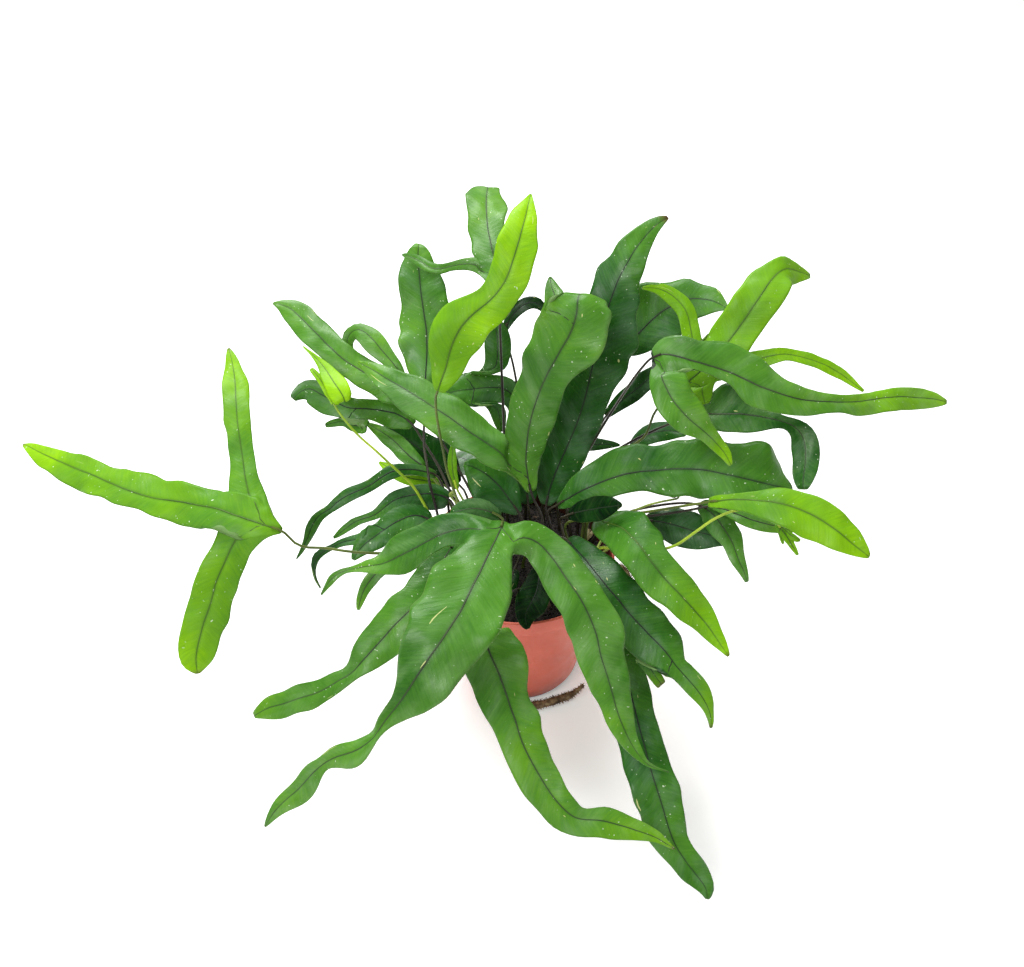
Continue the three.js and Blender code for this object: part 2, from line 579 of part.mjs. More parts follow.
    line: [
      [699, 505, 151, 3], [704, 507, 152.5, [7, 4.5]], [712, 513, 153, [8.6, 7]],
      [720, 523, 152, [8.2, 8]], [727, 534, 149, [8, 7.4]], [732, 542, 147, [9, 6.4]],
      [735, 550, 145, [3.6, 4.6]], [738, 560, 142, [4, 4.8]], [744, 571, 138, [2.8, 3]],
      [747, 582, 133.5, 1],
    ],
    lobes: [],
  },
  {
    name: 'frond_crown_small', leaf: 'dark', foot: [34, -12],
    stem: [[560, 520, 132], [564, 517, 139]],
    line: [
      [568, 515, 144, 3], [579, 511, 152, 6.5], [594, 509, 160, 7.5], [608, 507, 167, 6],
      [622, 505, 171, 1],
    ],
    lobes: [],
  },
  {
    name: 'frond_crown_left_deep', leaf: 'dark', foot: [-8, 2],
    stem: [[513, 518, 120]],
    line: [
      [511, 511, 126, 4], [509, 501, 134, 7.5], [506, 489, 141, 8], [504, 479, 145, 3],
    ],
    lobes: [],
  },
  {
    name: 'frond_soil_left', leaf: 'dark', foot: [-7, -32],
    stem: [[517, 564, 113]],
    line: [
      [514, 570, 117, 3], [511, 580, 119, 5], [507, 591, 116, 4.5], [505, 600, 112, 2],
    ],
    lobes: [],
  },
  {
    name: 'frond_back_arch', leaf: 'dark', foot: [4, 40],
    stem: [[530, 440, 148], [520, 400, 170], [512, 360, 192], [506, 340, 202]],
    line: [
      [504, 332, 207, 2], [508, 321, 213, 3.5], [517, 310, 219, 4], [529, 302, 223, 4],
      [540, 304, 222, 3.5], [547, 314, 216, 1],
    ],
    lobes: [],
  },
  {
    name: 'frond_back_dark', leaf: 'dark', foot: [8, 22],
    stem: [[529, 512, 118]],
    line: [
      [528, 504, 122, 4], [527, 492, 128, 9], [525, 474, 137, 10], [523, 450, 149, 8],
      [521, 425, 161, 6.5], [517, 402, 172, 7], [507, 390, 178, 9], [490, 387, 181, 9],
      [473, 389, 183, 9], [458, 391, 184, 7], [445, 394, 184, 2],
    ],
    lobes: [
      {
        at: 103, base: 6, line: [
          [498, 408, 172, 6], [500, 420, 165, 5.5], [502, 432, 158, 2],
        ],
      },
      {
        at: 103, base: 6, line: [
          [497, 365, 194, 8], [498, 345, 204, 9], [496, 328, 212, 7], [492, 316, 218, 2],
        ],
      },
    ],
  },
  {
    name: 'frond_crown_dark', leaf: 'dark', foot: [-4, -18],
    stem: [[526, 530, 124], [522, 520, 130]],
    line: [
      [519, 513, 134, 3], [510, 500, 141, [12, 8.5]], [500, 486, 148, [17, 11]],
      [488, 475, 154, [17, 11]], [474, 467, 158, [10, 7]], [464, 464, 160, 1.5],
    ],
    lobes: [],
  },
  {
    name: 'frond_rolled', leaf: 'bright', foot: [-16, 12],
    stem: [[468, 508, 128], [462, 498, 135]],
    line: [
      [457, 489, 142, 1.5], [453, 475, 150, 3], [452, 460, 157, 3], [453, 446, 164, 2],
      [454, 438, 167, 0.8],
    ],
    lobes: [],
  },
  {
    name: 'frond_crossing', leaf: 'dark', foot: [16, 34],
    stem: [[541, 490, 122], [541, 474, 129]],
    line: [
      [543, 462, 134, 2], [552, 451, 137, 4], [568, 446, 139, 4.5], [588, 444, 140, 4.5],
      [606, 444, 140, 3.5], [620, 445, 139, 0.9],
    ],
    lobes: [],
  },
  {
    name: 'frond_behind_right', leaf: 'dark', foot: [44, 20],
    stem: [[600, 478, 124], [620, 458, 132]],
    line: [
      [632, 446, 138, 3], [644, 436, 142, 6.5], [658, 431, 146, 7], [672, 431, 149, 6],
      [686, 434, 151, 2],
    ],
    lobes: [],
  },
  {
    name: 'frond_behind_narrow', leaf: 'dark', foot: [31, 31],
    stem: [[576, 470, 124], [597, 432, 140]],
    line: [
      [606, 416, 156, 2.5], [620, 402, 164, 5], [634, 391, 172, 6.5], [646, 381, 180, 7],
      [656, 370, 187, 4], [662, 362, 191, 1],
    ],
    lobes: [],
  },
  {
    name: 'frond_soil_front', leaf: 'dark', foot: [8, -42],
    stem: [[536, 563, 119]],
    line: [
      [539, 566, 123, 3], [539, 577, 124, 7], [537, 591, 123, 8.6], [530, 605, 122, 10],
      [524, 616, 117, 7], [526, 624, 114, 3.5], [528, 629, 112, 1],
    ],
    lobes: [],
  },
  {
    name: 'frond_back_low_left', leaf: 'dark', foot: [-12, 42],
    stem: [[492, 484, 116]],
    line: [
      [486, 478, 119, 4], [478, 468, 118, 9], [470, 462, 112, 11], [462, 458, 102, 11],
      [455, 456, 90, 9], [450, 455, 78, 3],
    ],
    lobes: [],
  },
  {
    name: 'frond_back_low_right', leaf: 'dark', foot: [20, 42],
    stem: [[550, 480, 116]],
    line: [
      [552, 472, 119, 4], [558, 462, 120, 9], [562, 456, 115, 11], [566, 452, 105, 11],
      [568, 449, 91, 8], [570, 448, 79, 2],
    ],
    lobes: [],
  },
];

const COLOURS = {
  bright: 0x5f9a1c, mid: 0x3f7a24, dark: 0x1f4a20, pot: 0xc4675a, soil: 0x1c1512,
  rhizome: 0x6a5636, dried: 0xa99a5c, crozier: 0xa9b84a,
};

// --- Helpers -----------------------------------------------------------------------

// The point at height z that the reference view shows at pixel (u, v).
function sight([u, v, z]) {
  const ray = VIEW_AXIS.clone()
    .addScaledVector(VIEW_RIGHT, (u - CENTRE_U) / FOCAL)
    .addScaledVector(VIEW_UP, (CENTRE_V - v) / FOCAL);
  return EYE.clone().addScaledVector(ray, (z - EYE.z) / ray.z);
}

function material(colour, roughness) {
  return new THREE.MeshStandardMaterial({ color: colour, roughness, metalness: 0 });
}

function solidOf(geometry) {
  const bare = geometry.clone();
  for (const name of Object.keys(bare.attributes)) {
    if (name !== 'position') bare.deleteAttribute(name);
  }
  const merged = mergeVertices(bare, SAME_POINT);
  return new wasm.Manifold(new wasm.Mesh({
    numProp: 3,
    vertProperties: new Float32Array(merged.attributes.position.array),
    triVerts: new Uint32Array(merged.index.array),
  }));
}

function geometryOf(solid) {
  const mesh = solid.getMesh();
  const geometry = new THREE.BufferGeometry();
  geometry.setAttribute('position', new THREE.BufferAttribute(mesh.vertProperties, mesh.numProp));
  geometry.setIndex(new THREE.BufferAttribute(mesh.triVerts, 1));
  return geometry;
}

function indexed(points, faces) {
  const geometry = new THREE.BufferGeometry();
  const numbers = points.flatMap((point) => point.toArray());
  geometry.setAttribute('position', new THREE.Float32BufferAttribute(numbers, 3));
  geometry.setIndex(faces.flat());
  return geometry;
}

// Repeatable random numbers from 0 to 1.
function randomFrom(seed) {
  let state = seed;
  return () => {
    state = (state * 1664525 + 1013904223) % 4294967296;
    return state / 4294967296;
  };
}

// A tube with flat ends along points, with its own radius at each of them.
function tube(points, radii, sides) {
  const corners = [];
  const faces = [];
  const side = new THREE.Vector3(1, 0, 0);
  points.forEach((point, i) => {
    const before = points[Math.max(i - 1, 0)];
    const after = points[Math.min(i + 1, points.length - 1)];
    const along = after.clone().sub(before).normalize();
    side.addScaledVector(along, -side.dot(along)).normalize();
    const other = along.clone().cross(side);
    for (let k = 0; k < sides; k += 1) {
      const angle = (2 * Math.PI * k) / sides;
      corners.push(point.clone()
        .addScaledVector(side, radii[i] * Math.cos(angle))
        .addScaledVector(other, radii[i] * Math.sin(angle)));
    }
  });
  for (let i = 0; i + 1 < points.length; i += 1) {
    for (let k = 0; k < sides; k += 1) {
      const a = i * sides + k;
      const b = i * sides + ((k + 1) % sides);
      faces.push([a, b, b + sides], [a, b + sides, a + sides]);
    }
  }
  const last = (points.length - 1) * sides;
  for (let k = 1; k + 1 < sides; k += 1) {
    faces.push([0, k + 1, k], [last, last + k, last + k + 1]);
  }
  return indexed(corners, faces);
}

// The widths of both sides and the roll that a row of the table gives.
function rowExtras([, , , width, roll = 0]) {
  const [left, right = left] = [width].flat();
  return [left, right, roll];
}

// The length of a curve from its start to each of its samples.
function lengthsAlong(curve, samples) {
  const lengths = [0];
  let previous = curve.getPoint(0);
  for (let i = 1; i <= samples; i += 1) {
    const point = curve.getPoint(i / samples);
    lengths.push(lengths[i - 1] + point.distanceTo(previous));
    previous = point;
  }
  return lengths;
}

// A smooth line through the table's points, with its widths and rolls, read by length.
function smoothLine(rows) {
  const curve = new THREE.CatmullRomCurve3(rows.map(sight), false, 'centripetal');
  const extras = rows.map(rowExtras);
  const spans = rows.length - 1;
  const samples = SAMPLES_PER_SPAN * spans;
  const lengths = lengthsAlong(curve, samples);
  const read = (length) => {
    let i = 1;
    while (i < samples && lengths[i] < length) i += 1;
    const share = (length - lengths[i - 1]) / (lengths[i] - lengths[i - 1]);
    const t = THREE.MathUtils.clamp((i - 1 + share) / samples, 0, 1);
    const k = Math.min(Math.floor(t * spans), spans - 1);
    const mixed = extras[k].map((value, n) => THREE.MathUtils.lerp(value, extras[k + 1][n], t * spans - k));
    const [left, right, roll] = mixed;
    return { point: curve.getPoint(t), along: curve.getTangent(t), left, right, roll, length };
  };
  return { total: lengths[samples], read };
}

// The lengths along a midrib where rows of the net go: evenly spread, with as many close rows
// at each joint, where side lobes leave the edge, as a lobe's first row has points.
function stationsOf(total, joints, step) {
  const stations = [];
  let from = 0;
  const spread = (a, b) => {
    const count = Math.max(1, Math.round((b - a) / step));
    for (let i = 0; i < count; i += 1) stations.push(a + ((b - a) * i) / count);
  };
  for (const joint of joints) {
    spread(from, joint.at - joint.base);
    joint.row = stations.length;
    for (let i = 0; i < CELLS_ACROSS; i += 1) {
      stations.push(joint.at + joint.base * ((2 * i) / CELLS_ACROSS - 1));
    }
    from = joint.at + joint.base;
  }
  spread(from, total);
  stations.push(total);
  return stations;
}

// The direction across a blade: square to its midrib, facing partly the viewer, partly the sky.
// A blade that is seen aslant is widened, so that its width in the reference view is the table's.
function acrossOf(row) {
  const toEye = EYE.clone().sub(row.point).normalize();
  const facing = toEye.clone().multiplyScalar(1 - SKY_SHARE).addScaledVector(UP, SKY_SHARE);
  facing.addScaledVector(row.along, -facing.dot(row.along)).normalize();
  const across = row.along.clone().cross(facing).normalize();
  const roll = THREE.MathUtils.degToRad(row.roll);
  across.applyAxisAngle(row.along, roll);
  facing.applyAxisAngle(row.along, roll);
  const seenAcross = across.clone().addScaledVector(toEye, -across.dot(toEye));
  const seenAlong = row.along.clone().addScaledVector(toEye, -row.along.dot(toEye)).normalize();
  const seen = seenAcross.cross(seenAlong).length();
  const widen = row.roll ? 1 : Math.min(WIDEST, 1 / seen);
  return { across, facing, widen };
}

// One row of vertices across the blade, arched, with its edges waved.
function rowPoints(row, phase) {
  const { across, facing, widen } = acrossOf(row);
  return ACROSS.map((share) => {
    const half = widen * (share < 0 ? row.left : row.right);
    const lag = share > 0 ? SIDE_LAG : 0;
    const wave = Math.sin((2 * Math.PI * row.length) / WAVE_LENGTH + phase + lag);
    const rise = half * share * share * (WAVE_SHARE * wave - ARCH);
    return row.point.clone().addScaledVector(across, half * share).addScaledVector(facing, rise);
  });
}

// The joints of a blade in order along it. Lobes at the same place share a joint.
function jointsOf(lobes) {
  const joints = [];
  for (const lobe of lobes) {
    const known = joints.find((joint) => joint.at === lobe.at);
    lobe.joint = known || { at: lobe.at, base: lobe.base };
    if (!known) joints.push(lobe.joint);
  }
  return joints.sort((a, b) => a.at - b.at);
}

// The points of the blade's edge that a side lobe grows from, in the order of a row's points.
function lobeStart(lobe, main, rows) {
  const first = lobe.joint.row;
  const run = rows.slice(first, first + ACROSS.length);
  const middle = main.read(lobe.joint.at);
  const { across } = acrossOf(middle);
  const onRight = sight(lobe.line[0]).sub(middle.point).dot(across) > 0;
  const edge = run.map((row) => (onRight ? row[CELLS_ACROSS] : row[0]));
  return onRight ? edge.reverse() : edge;
}

// The net of a whole blade: points, and four-sided cells whose order gives the upper face.
function bladeNet(frond) {
  const points = [];
  const cells = [];
  const addRow = (line, length, phase) => (
    rowPoints(line.read(length), phase).map((point) => points.push(point) - 1));
  const join = (before, after) => {
    for (let k = 0; k < CELLS_ACROSS; k += 1) {
      cells.push([before[k], before[k + 1], after[k + 1], after[k]]);
    }
  };
  const phase = frond.name.length;
  const main = smoothLine(frond.line);
  const stations = stationsOf(main.total, jointsOf(frond.lobes), ROW_STEP);
  const rows = stations.map((length) => addRow(main, length, phase));
  rows.slice(1).forEach((row, i) => join(rows[i], row));
  for (const lobe of frond.lobes) {
    const branch = smoothLine(lobe.line);
    let before = lobeStart(lobe, main, rows);
    for (const length of stationsOf(branch.total, [], ROW_STEP)) {
      const after = addRow(branch, length, phase + 1);
      join(before, after);
      before = after;
    }
  }
  return { points, cells };
}

// Gives a net its thickness: the same triangles above and below, and a wall round the edge.
function thicken({ points, cells }, thickness) {
  const faces = cells.flatMap(([a, b, c, d]) => [[a, b, c], [a, c, d]]);
  const normals = points.map(() => new THREE.Vector3());
  const open = new Map();
  for (const [a, b, c] of faces) {
    const normal = points[b].clone().sub(points[a]).cross(points[c].clone().sub(points[a]));
    for (const k of [a, b, c]) normals[k].add(normal);
    for (const [p, q] of [[a, b], [b, c], [c, a]]) {
      if (!open.delete(`${q} ${p}`)) open.set(`${p} ${q}`, [p, q]);
    }
  }
  normals.forEach((normal) => normal.setLength(thickness / 2));
  const count = points.length;
  const corners = [
    ...points.map((point, i) => point.clone().add(normals[i])),
    ...points.map((point, i) => point.clone().sub(normals[i])),
  ];
  const shell = [...faces, ...faces.map(([a, b, c]) => [a + count, c + count, b + count])];
  for (const [p, q] of open.values()) {
    shell.push([p, p + count, q + count], [p, q + count, q]);
  }
  return indexed(corners, shell);
}

// The smooth course of a stipe, from its foot in the soil to a little way into the blade.
function stemCourse(frond) {
  const [x, y] = frond.foot;
  const top = soilHeight(x, y);
  const bottom = new THREE.Vector3(x, y, top - STEM_DEPTH);
  const knots = [
    new THREE.Vector3(x, y, top + 1),
    new THREE.Vector3(x, y, top + STEM_UPRIGHT),
    ...frond.stem.map(sight),
  ];
  if (frond.line) {
    const main = smoothLine(frond.line);
    knots.push(main.read(0).point, main.read(Math.min(STEM_IN_BLADE, main.total / 3)).point);
  }
  const curve = new THREE.CatmullRomCurve3(knots, false, 'centripetal');
  const count = Math.max(4, Math.round(curve.getLength() / STEM_STEP));
  return [bottom, ...curve.getSpacedPoints(count)];
}

// The radius at each point of a stipe, which gets thinner to its end.
function taper(points, thick) {
  return points.map((point, i) => thick * (1 - (STEM_TAPER * i) / (points.length - 1)));
}

function stemSolid(frond) {
  const course = stemCourse(frond);
  const radii = taper(course, STEM_RADIUS);
  return solidOf(tube(course, radii, STEM_SIDES));
}

function largestPiece(solid) {
  const pieces = solid.decompose();
  return pieces.reduce((best, piece) => (piece.volume() > best.volume() ? piece : best));
}

function frondMesh(frond) {
  const blade = solidOf(thicken(bladeNet(frond), BLADE_THICKNESS));
  const solid = largestPiece(blade.add(stemSolid(frond)));
  const mesh = new THREE.Mesh(geometryOf(solid), material(COLOURS[frond.leaf], 0.42));
  mesh.name = frond.name;
  return mesh;
}

// --- Pot and soil --------------------------------------------------------------------

// Radius of the pot's outside at height z, below the band.
function potRadius(z) {
  return BASE_RADIUS + ((RIM_RADIUS - BAND_STEP - BASE_RADIUS) * z) / POT_HEIGHT;
}

function soilHeight(x, y) {
  const share = Math.hypot(x, y) / (RIM_RADIUS - WALL);
  return SOIL_TOP + SOIL_CROWN * Math.cos((Math.PI / 2) * Math.min(share, 1));
}

function potGeometry() {
  const band = POT_HEIGHT - BAND_HEIGHT;
  const outline = [
    [0, 0], [BASE_RADIUS - FOOT_ROUND, 0], [BASE_RADIUS - FOOT_ROUND * 0.3, FOOT_ROUND * 0.3],
    [potRadius(FOOT_ROUND), FOOT_ROUND], [potRadius(band - 1.5), band - 1.5],
    [potRadius(band) + BAND_STEP, band], [RIM_RADIUS, POT_HEIGHT - 1],
    [RIM_RADIUS - 0.8, POT_HEIGHT], [RIM_RADIUS - WALL - BAND_STEP, POT_HEIGHT],
    [potRadius(band) - WALL, band], [potRadius(FLOOR_THICKNESS + 3) - WALL, FLOOR_THICKNESS + 3],
    [potRadius(0) - WALL - FLOOR_FILLET + 0.5, FLOOR_THICKNESS], [0, FLOOR_THICKNESS],
  ];
  const wall = new THREE.LatheGeometry(outline.map(([r, z]) => new THREE.Vector2(r, z)), POT_SIDES);
  wall.rotateX(Math.PI / 2);
  let pot = solidOf(wall);
  for (let i = 0; i < DRAIN_HOLES; i += 1) {
    const angle = (2 * Math.PI * (i + 0.5)) / DRAIN_HOLES;
    const hole = new THREE.CylinderGeometry(DRAIN_HOLE_RADIUS, DRAIN_HOLE_RADIUS, 20, 10);
    hole.rotateX(Math.PI / 2);
    hole.translate(DRAIN_CIRCLE * Math.cos(angle), DRAIN_CIRCLE * Math.sin(angle), 0);
    pot = pot.subtract(solidOf(hole));
  }
  return geometryOf(pot);
}

// The outline of the heaped plug of soil that fills the pot, from its underside's centre up.
function soilOutline() {
  const band = POT_HEIGHT - BAND_HEIGHT;
  const inner = (z) => potRadius(z) - WALL - SEAT;
  const outline = [
    [0, FLOOR_THICKNESS + SEAT], [inner(0) - FLOOR_FILLET, FLOOR_THICKNESS + SEAT],
    [inner(FLOOR_THICKNESS + 3), FLOOR_THICKNESS + 3 + SEAT], [inner(band), band],
    [inner(band) + 0.1, soilHeight(RIM_RADIUS, 0)],
  ];
  for (let i = SOIL_RINGS - 1; i >= 0; i -= 1) {
    const radius = ((RIM_RADIUS - WALL) * i) / SOIL_RINGS;
    outline.push([radius, soilHeight(radius, 0)]);
  }
  return outline;
}

// Bark chips of random size and place, except where a stem stands.
function barkChips(stems) {
  const random = randomFrom(CHIP_SEED);
  const chips = [];
  for (let i = 0; i < CHIP_COUNT; i += 1) {
    const angle = 2 * Math.PI * random();
    const reach = 10 + 38 * Math.sqrt(random());
    const [x, y] = [reach * Math.cos(angle), reach * Math.sin(angle)];
    const chip = new THREE.BoxGeometry(3 + 4 * random(), 2 + 2 * random(), 1.6 + random());
    chip.rotateX(0.5 * (random() - 0.5));
    chip.rotateZ(2 * Math.PI * random());
    chip.translate(x, y, soilHeight(x, y));
    const clear = stems.every(({ foot }) => Math.hypot(foot[0] - x, foot[1] - y) > CHIP_CLEARANCE);
    if (clear) chips.push(chip);
  }
  return chips;
}

// A plain hole for a stem, open at the top of the soil.
function stemHole(stem) {
  const [x, y] = stem.foot;
  const radius = ((stem.thick || STEM_RADIUS) + HOLE_CLEARANCE) / Math.cos(Math.PI / HOLE_SIDES);
  const bottom = soilHeight(x, y) - STEM_DEPTH - SEAT;
  const length = STEM_DEPTH + SEAT + HOLE_OVERSHOOT;
  const hole = new THREE.CylinderGeometry(radius, radius, length, HOLE_SIDES);
  hole.rotateX(Math.PI / 2);
  hole.translate(x, y, bottom + length / 2);
  return hole;
}

// The plug of soil with its bark chips and its holes.
function soilGeometry(stems) {
  const outline = soilOutline().map(([r, z]) => new THREE.Vector2(r, z));
  const plug = new THREE.LatheGeometry(outline, POT_SIDES);
  plug.rotateX(Math.PI / 2);
  let soil = solidOf(plug);
  for (const chip of barkChips(stems)) soil = soil.add(solidOf(chip));
  for (const stem of stems) soil = soil.subtract(solidOf(stemHole(stem)));
  return geometryOf(largestPiece(soil));
}

// --- Croziers, rhizomes and dried stubs -----------------------------------------------

const CROZIERS = [
  {
    name: 'crozier_right_upper', foot: [40, -20], thick: 0.9, curl: 3.6,
    stem: [[612, 524, 122], [643, 507, 140], [660, 502, 148], [676, 499, 154]],
  },
  {
    name: 'crozier_right_lower', foot: [47, -3], thick: 0.9, curl: 2.8,
    stem: [[630, 536, 118], [653, 529, 124], [680, 526, 130], [700, 521, 136], [713, 517, 141]],
  },
  {
    name: 'crozier_left', foot: [-10, -10], thick: 0.8, curl: 2.2,
    stem: [[470, 520, 124], [458, 505, 138], [450, 496, 146]],
  },
];

const RHIZOMES = [
  {
    name: 'rhizome_front', foot: [-14, -42], thick: 3,
    course: [
      [-16, -47, 103], [-20, -54, 110.5], [-23.5, -60, 109.5], [-25, -61, 100], [-25.5, -57, 84],
      [-25, -53.5, 68],
      [-24, -48, 45], [-22, -43.5, 22], [-16, -44, 8], [-6, -45.5, 5], [5, -46, 4],
      [16, -44.5, 4.2], [27, -41, 5], [36, -38, 7], [43, -34, 11],
    ],
  },
  {
    name: 'rhizome_right', foot: [34, -26], thick: 3,
    course: [
      [44, -23, 104], [53.5, -21.5, 111.5], [62.5, -20, 109.5], [67, -20, 100], [68, -21, 91],
      [66.5, -24, 83],
    ],
  },
];

// Two pale stubs that share one foot, and the place where they part.
const DRIED = {
  name: 'dried_stipes', foot: [36, 6], thick: 1.3, tips: [[589, 529, 112], [597, 527, 110]],
};
const DRIED_STUB = [585, 541, 106];

// The curl at the top of a young frond.
function coil(start, along, radius) {
  const side = UP.clone().addScaledVector(along, -along.z).normalize();
  const points = [];
  for (let i = 1; i <= COIL_POINTS; i += 1) {
    const share = i / COIL_POINTS;
    const angle = 2 * Math.PI * COIL_TURNS * share;
    const reach = radius * (1 - COIL_TIGHTENING * share);
    points.push(start.clone()
      .addScaledVector(side, radius - reach * Math.cos(angle))
      .addScaledVector(along, reach * Math.sin(angle)));
  }
  return points;
}

function crozierMesh(crozier) {
  const course = stemCourse(crozier);
  const end = course[course.length - 1];
  const along = end.clone().sub(course[course.length - 2]).normalize();
  const points = [...course, ...coil(end, along, crozier.curl)];
  const radii = taper(points, crozier.thick);
  const mesh = new THREE.Mesh(tube(points, radii, STEM_SIDES), material(COLOURS.crozier, 0.5));
  mesh.name = crozier.name;
  return mesh;
}

function rhizomeMesh(rhizome) {
  const [x, y] = rhizome.foot;
  const top = soilHeight(x, y);
  const knots = [[x, y, top + 2], ...rhizome.course].map((each) => new THREE.Vector3(...each));
  const curve = new THREE.CatmullRomCurve3(knots, false, 'centripetal');
  const count = Math.round(curve.getLength() / RHIZOME_STEP);
  const points = [new THREE.Vector3(x, y, top - STEM_DEPTH), ...curve.getPoints(count)];
  const radii = points.map((point, i) => {
    if (i < 2) return rhizome.thick;
    const toTip = (points.length - 1 - i) / 3;
    const knobbly = 1 + 0.05 * Math.sin(1.7 * i);
    return rhizome.thick * knobbly * Math.min(1, 0.45 + 0.55 * toTip);
  });
  const mesh = new THREE.Mesh(tube(points, radii, RHIZOME_SIDES), material(COLOURS.rhizome, 0.95));
  mesh.name = rhizome.name;
  return mesh;
}

function driedMesh(dried) {
  const stubs = dried.tips.map((tip) => {
    const course = stemCourse({ foot: dried.foot, stem: [DRIED_STUB, tip] });
    return solidOf(tube(course, course.map(() => dried.thick), STEM_SIDES));
  });
  const mesh = new THREE.Mesh(geometryOf(stubs[0].add(stubs[1])), material(COLOURS.dried, 0.9));
  mesh.name = dried.name;
  return mesh;
}

// --- The whole plant -------------------------------------------------------------------

function named(name, geometry, colour, roughness) {
  const mesh = new THREE.Mesh(geometry, material(colour, roughness));
  mesh.name = name;
  return mesh;
}

const plant = new THREE.Group();
const stems = [...FRONDS, ...CROZIERS, ...RHIZOMES, DRIED];
plant.add(named('pot', potGeometry(), COLOURS.pot, 0.5));
plant.add(named('soil', soilGeometry(stems), COLOURS.soil, 0.95));
for (const rhizome of RHIZOMES) plant.add(rhizomeMesh(rhizome));
plant.add(driedMesh(DRIED));
for (const crozier of CROZIERS) plant.add(crozierMesh(crozier));
for (const frond of FRONDS) plant.add(frondMesh(frond));

export default plant;
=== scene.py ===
# %% [markdown]
# # A potted fern, dressed for its picture
#
# The plant is a fern with long, leathery, lobed fronds. Each frond stands on its own wiry stipe
# in a small pink-brown nursery pot. The frame holds the measured solids of the whole plant.
# This lesson gives them their looks: the veins, waves and gloss of the blades, the fur of the
# creeping rhizomes, the crumbs of the soil and the satin plastic of the pot.
#
# The lists in this lesson are in mm, and the meshes that come out of them in metres. Z points
# up, and the origin is under the middle of the pot.

# %% Load the frame and note its size
import json
import math
import random

import bmesh
import bpy
import numpy as np
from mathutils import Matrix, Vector, noise

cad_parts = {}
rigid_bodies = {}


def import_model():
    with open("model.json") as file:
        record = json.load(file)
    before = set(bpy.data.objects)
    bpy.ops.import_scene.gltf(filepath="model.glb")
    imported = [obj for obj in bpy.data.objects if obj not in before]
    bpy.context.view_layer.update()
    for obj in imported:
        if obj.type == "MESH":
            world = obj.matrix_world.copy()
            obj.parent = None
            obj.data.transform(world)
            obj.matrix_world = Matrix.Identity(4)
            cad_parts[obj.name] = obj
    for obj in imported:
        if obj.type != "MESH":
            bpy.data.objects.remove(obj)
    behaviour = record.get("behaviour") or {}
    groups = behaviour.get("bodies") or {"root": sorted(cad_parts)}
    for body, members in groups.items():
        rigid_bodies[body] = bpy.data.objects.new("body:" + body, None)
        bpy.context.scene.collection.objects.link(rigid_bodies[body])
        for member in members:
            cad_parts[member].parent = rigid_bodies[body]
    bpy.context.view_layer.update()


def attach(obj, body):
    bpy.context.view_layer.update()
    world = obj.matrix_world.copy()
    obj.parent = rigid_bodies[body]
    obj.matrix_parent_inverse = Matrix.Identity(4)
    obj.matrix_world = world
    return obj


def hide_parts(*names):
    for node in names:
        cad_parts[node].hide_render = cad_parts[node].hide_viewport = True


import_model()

# %% [markdown]
# ## Camera
#
# The picture is taken from the front, a little more than half a metre above the table, looking
# down at about 43 degrees. Such a view can be set by eye, or worked out from the pot's rim,
# which is a circle of known size. The second way is used, because the same lens then also
# tells where a place of the picture lies in space. The lens is 1050 pixels long on a frame
# 1024 pixels wide.

# %% The camera, and the line of sight through a pixel
MM = 0.001
FRAME_WIDTH, FRAME_HEIGHT = 1024, 967
FOCAL = 1050.0
EYE = np.array([-5.0, -461.0, 587.0])
TILT = math.radians(42.6)
SENSOR = 36.0

VIEW_RIGHT = np.array([1.0, 0.0, 0.0])
VIEW_UP = np.array([0.0, math.sin(TILT), math.cos(TILT)])
VIEW_AXIS = np.array([0.0, math.cos(TILT), -math.sin(TILT)])
UP = np.array([0.0, 0.0, 1.0])

scene = bpy.context.scene
lens = bpy.data.cameras.new("camera")
lens.sensor_width = SENSOR
lens.lens = FOCAL / FRAME_WIDTH * SENSOR
camera = bpy.data.objects.new("camera", lens)
camera.location = EYE * MM
camera.rotation_euler = (math.pi / 2 - TILT, 0, 0)
scene.collection.objects.link(camera)
scene.camera = camera
scene.view_settings.view_transform = "Standard"


def sight(u, v, z):
    """The point, in mm, at height z that the picture shows at pixel (u, v)."""
    ray = VIEW_AXIS + VIEW_RIGHT * (u - FRAME_WIDTH / 2) / FOCAL
    ray = ray + VIEW_UP * (FRAME_HEIGHT / 2 - v) / FOCAL
    return EYE + ray * (z - EYE[2]) / ray[2]


print("camera lens", round(lens.lens, 2), "mm, pot's foot at", sight(512, 716, 0).round(1))

# %% [markdown]
# ## Floor and light
#
# The plant stands on a plain pale table in soft light. A studio gets this from large lamps
# behind cloth, or from a window. Area lamps are the same thing here: a wide one high up
# behind the plant, which makes the broad pale sheen on the leathery blades, and a weaker one
# in front, which keeps their near sides clear. The table glows a little, as a light table
# does, so that the shadow under the plant stays faint.

# %% The floor, the sky and the lamps
FLOOR_REACH, FLOOR_GLOW, SKY_STRENGTH = 6.0, 0.22, 0.40
PLANT_HEART = Vector((0, 0, 0.15))    # what the lamps aim at

table = bpy.data.materials.new("pale_table")
table.use_nodes = True
surface = table.node_tree.nodes["Principled BSDF"].inputs
surface["Base Color"].default_value = (0.92, 0.92, 0.92, 1)
surface["Roughness"].default_value = 0.85
surface["Emission Color"].default_value = (1, 1, 1, 1)
surface["Emission Strength"].default_value = FLOOR_GLOW
floor_mesh = bpy.data.meshes.new("floor")
floor_corners = [(-1, -1, 0), (1, -1, 0), (1, 1, 0), (-1, 1, 0)]
floor_mesh.from_pydata([(x * FLOOR_REACH, y * FLOOR_REACH, z) for x, y, z in floor_corners],
                       [], [(0, 1, 2, 3)])
floor_mesh.materials.append(table)
floor = bpy.data.objects.new("floor", floor_mesh)
scene.collection.objects.link(floor)

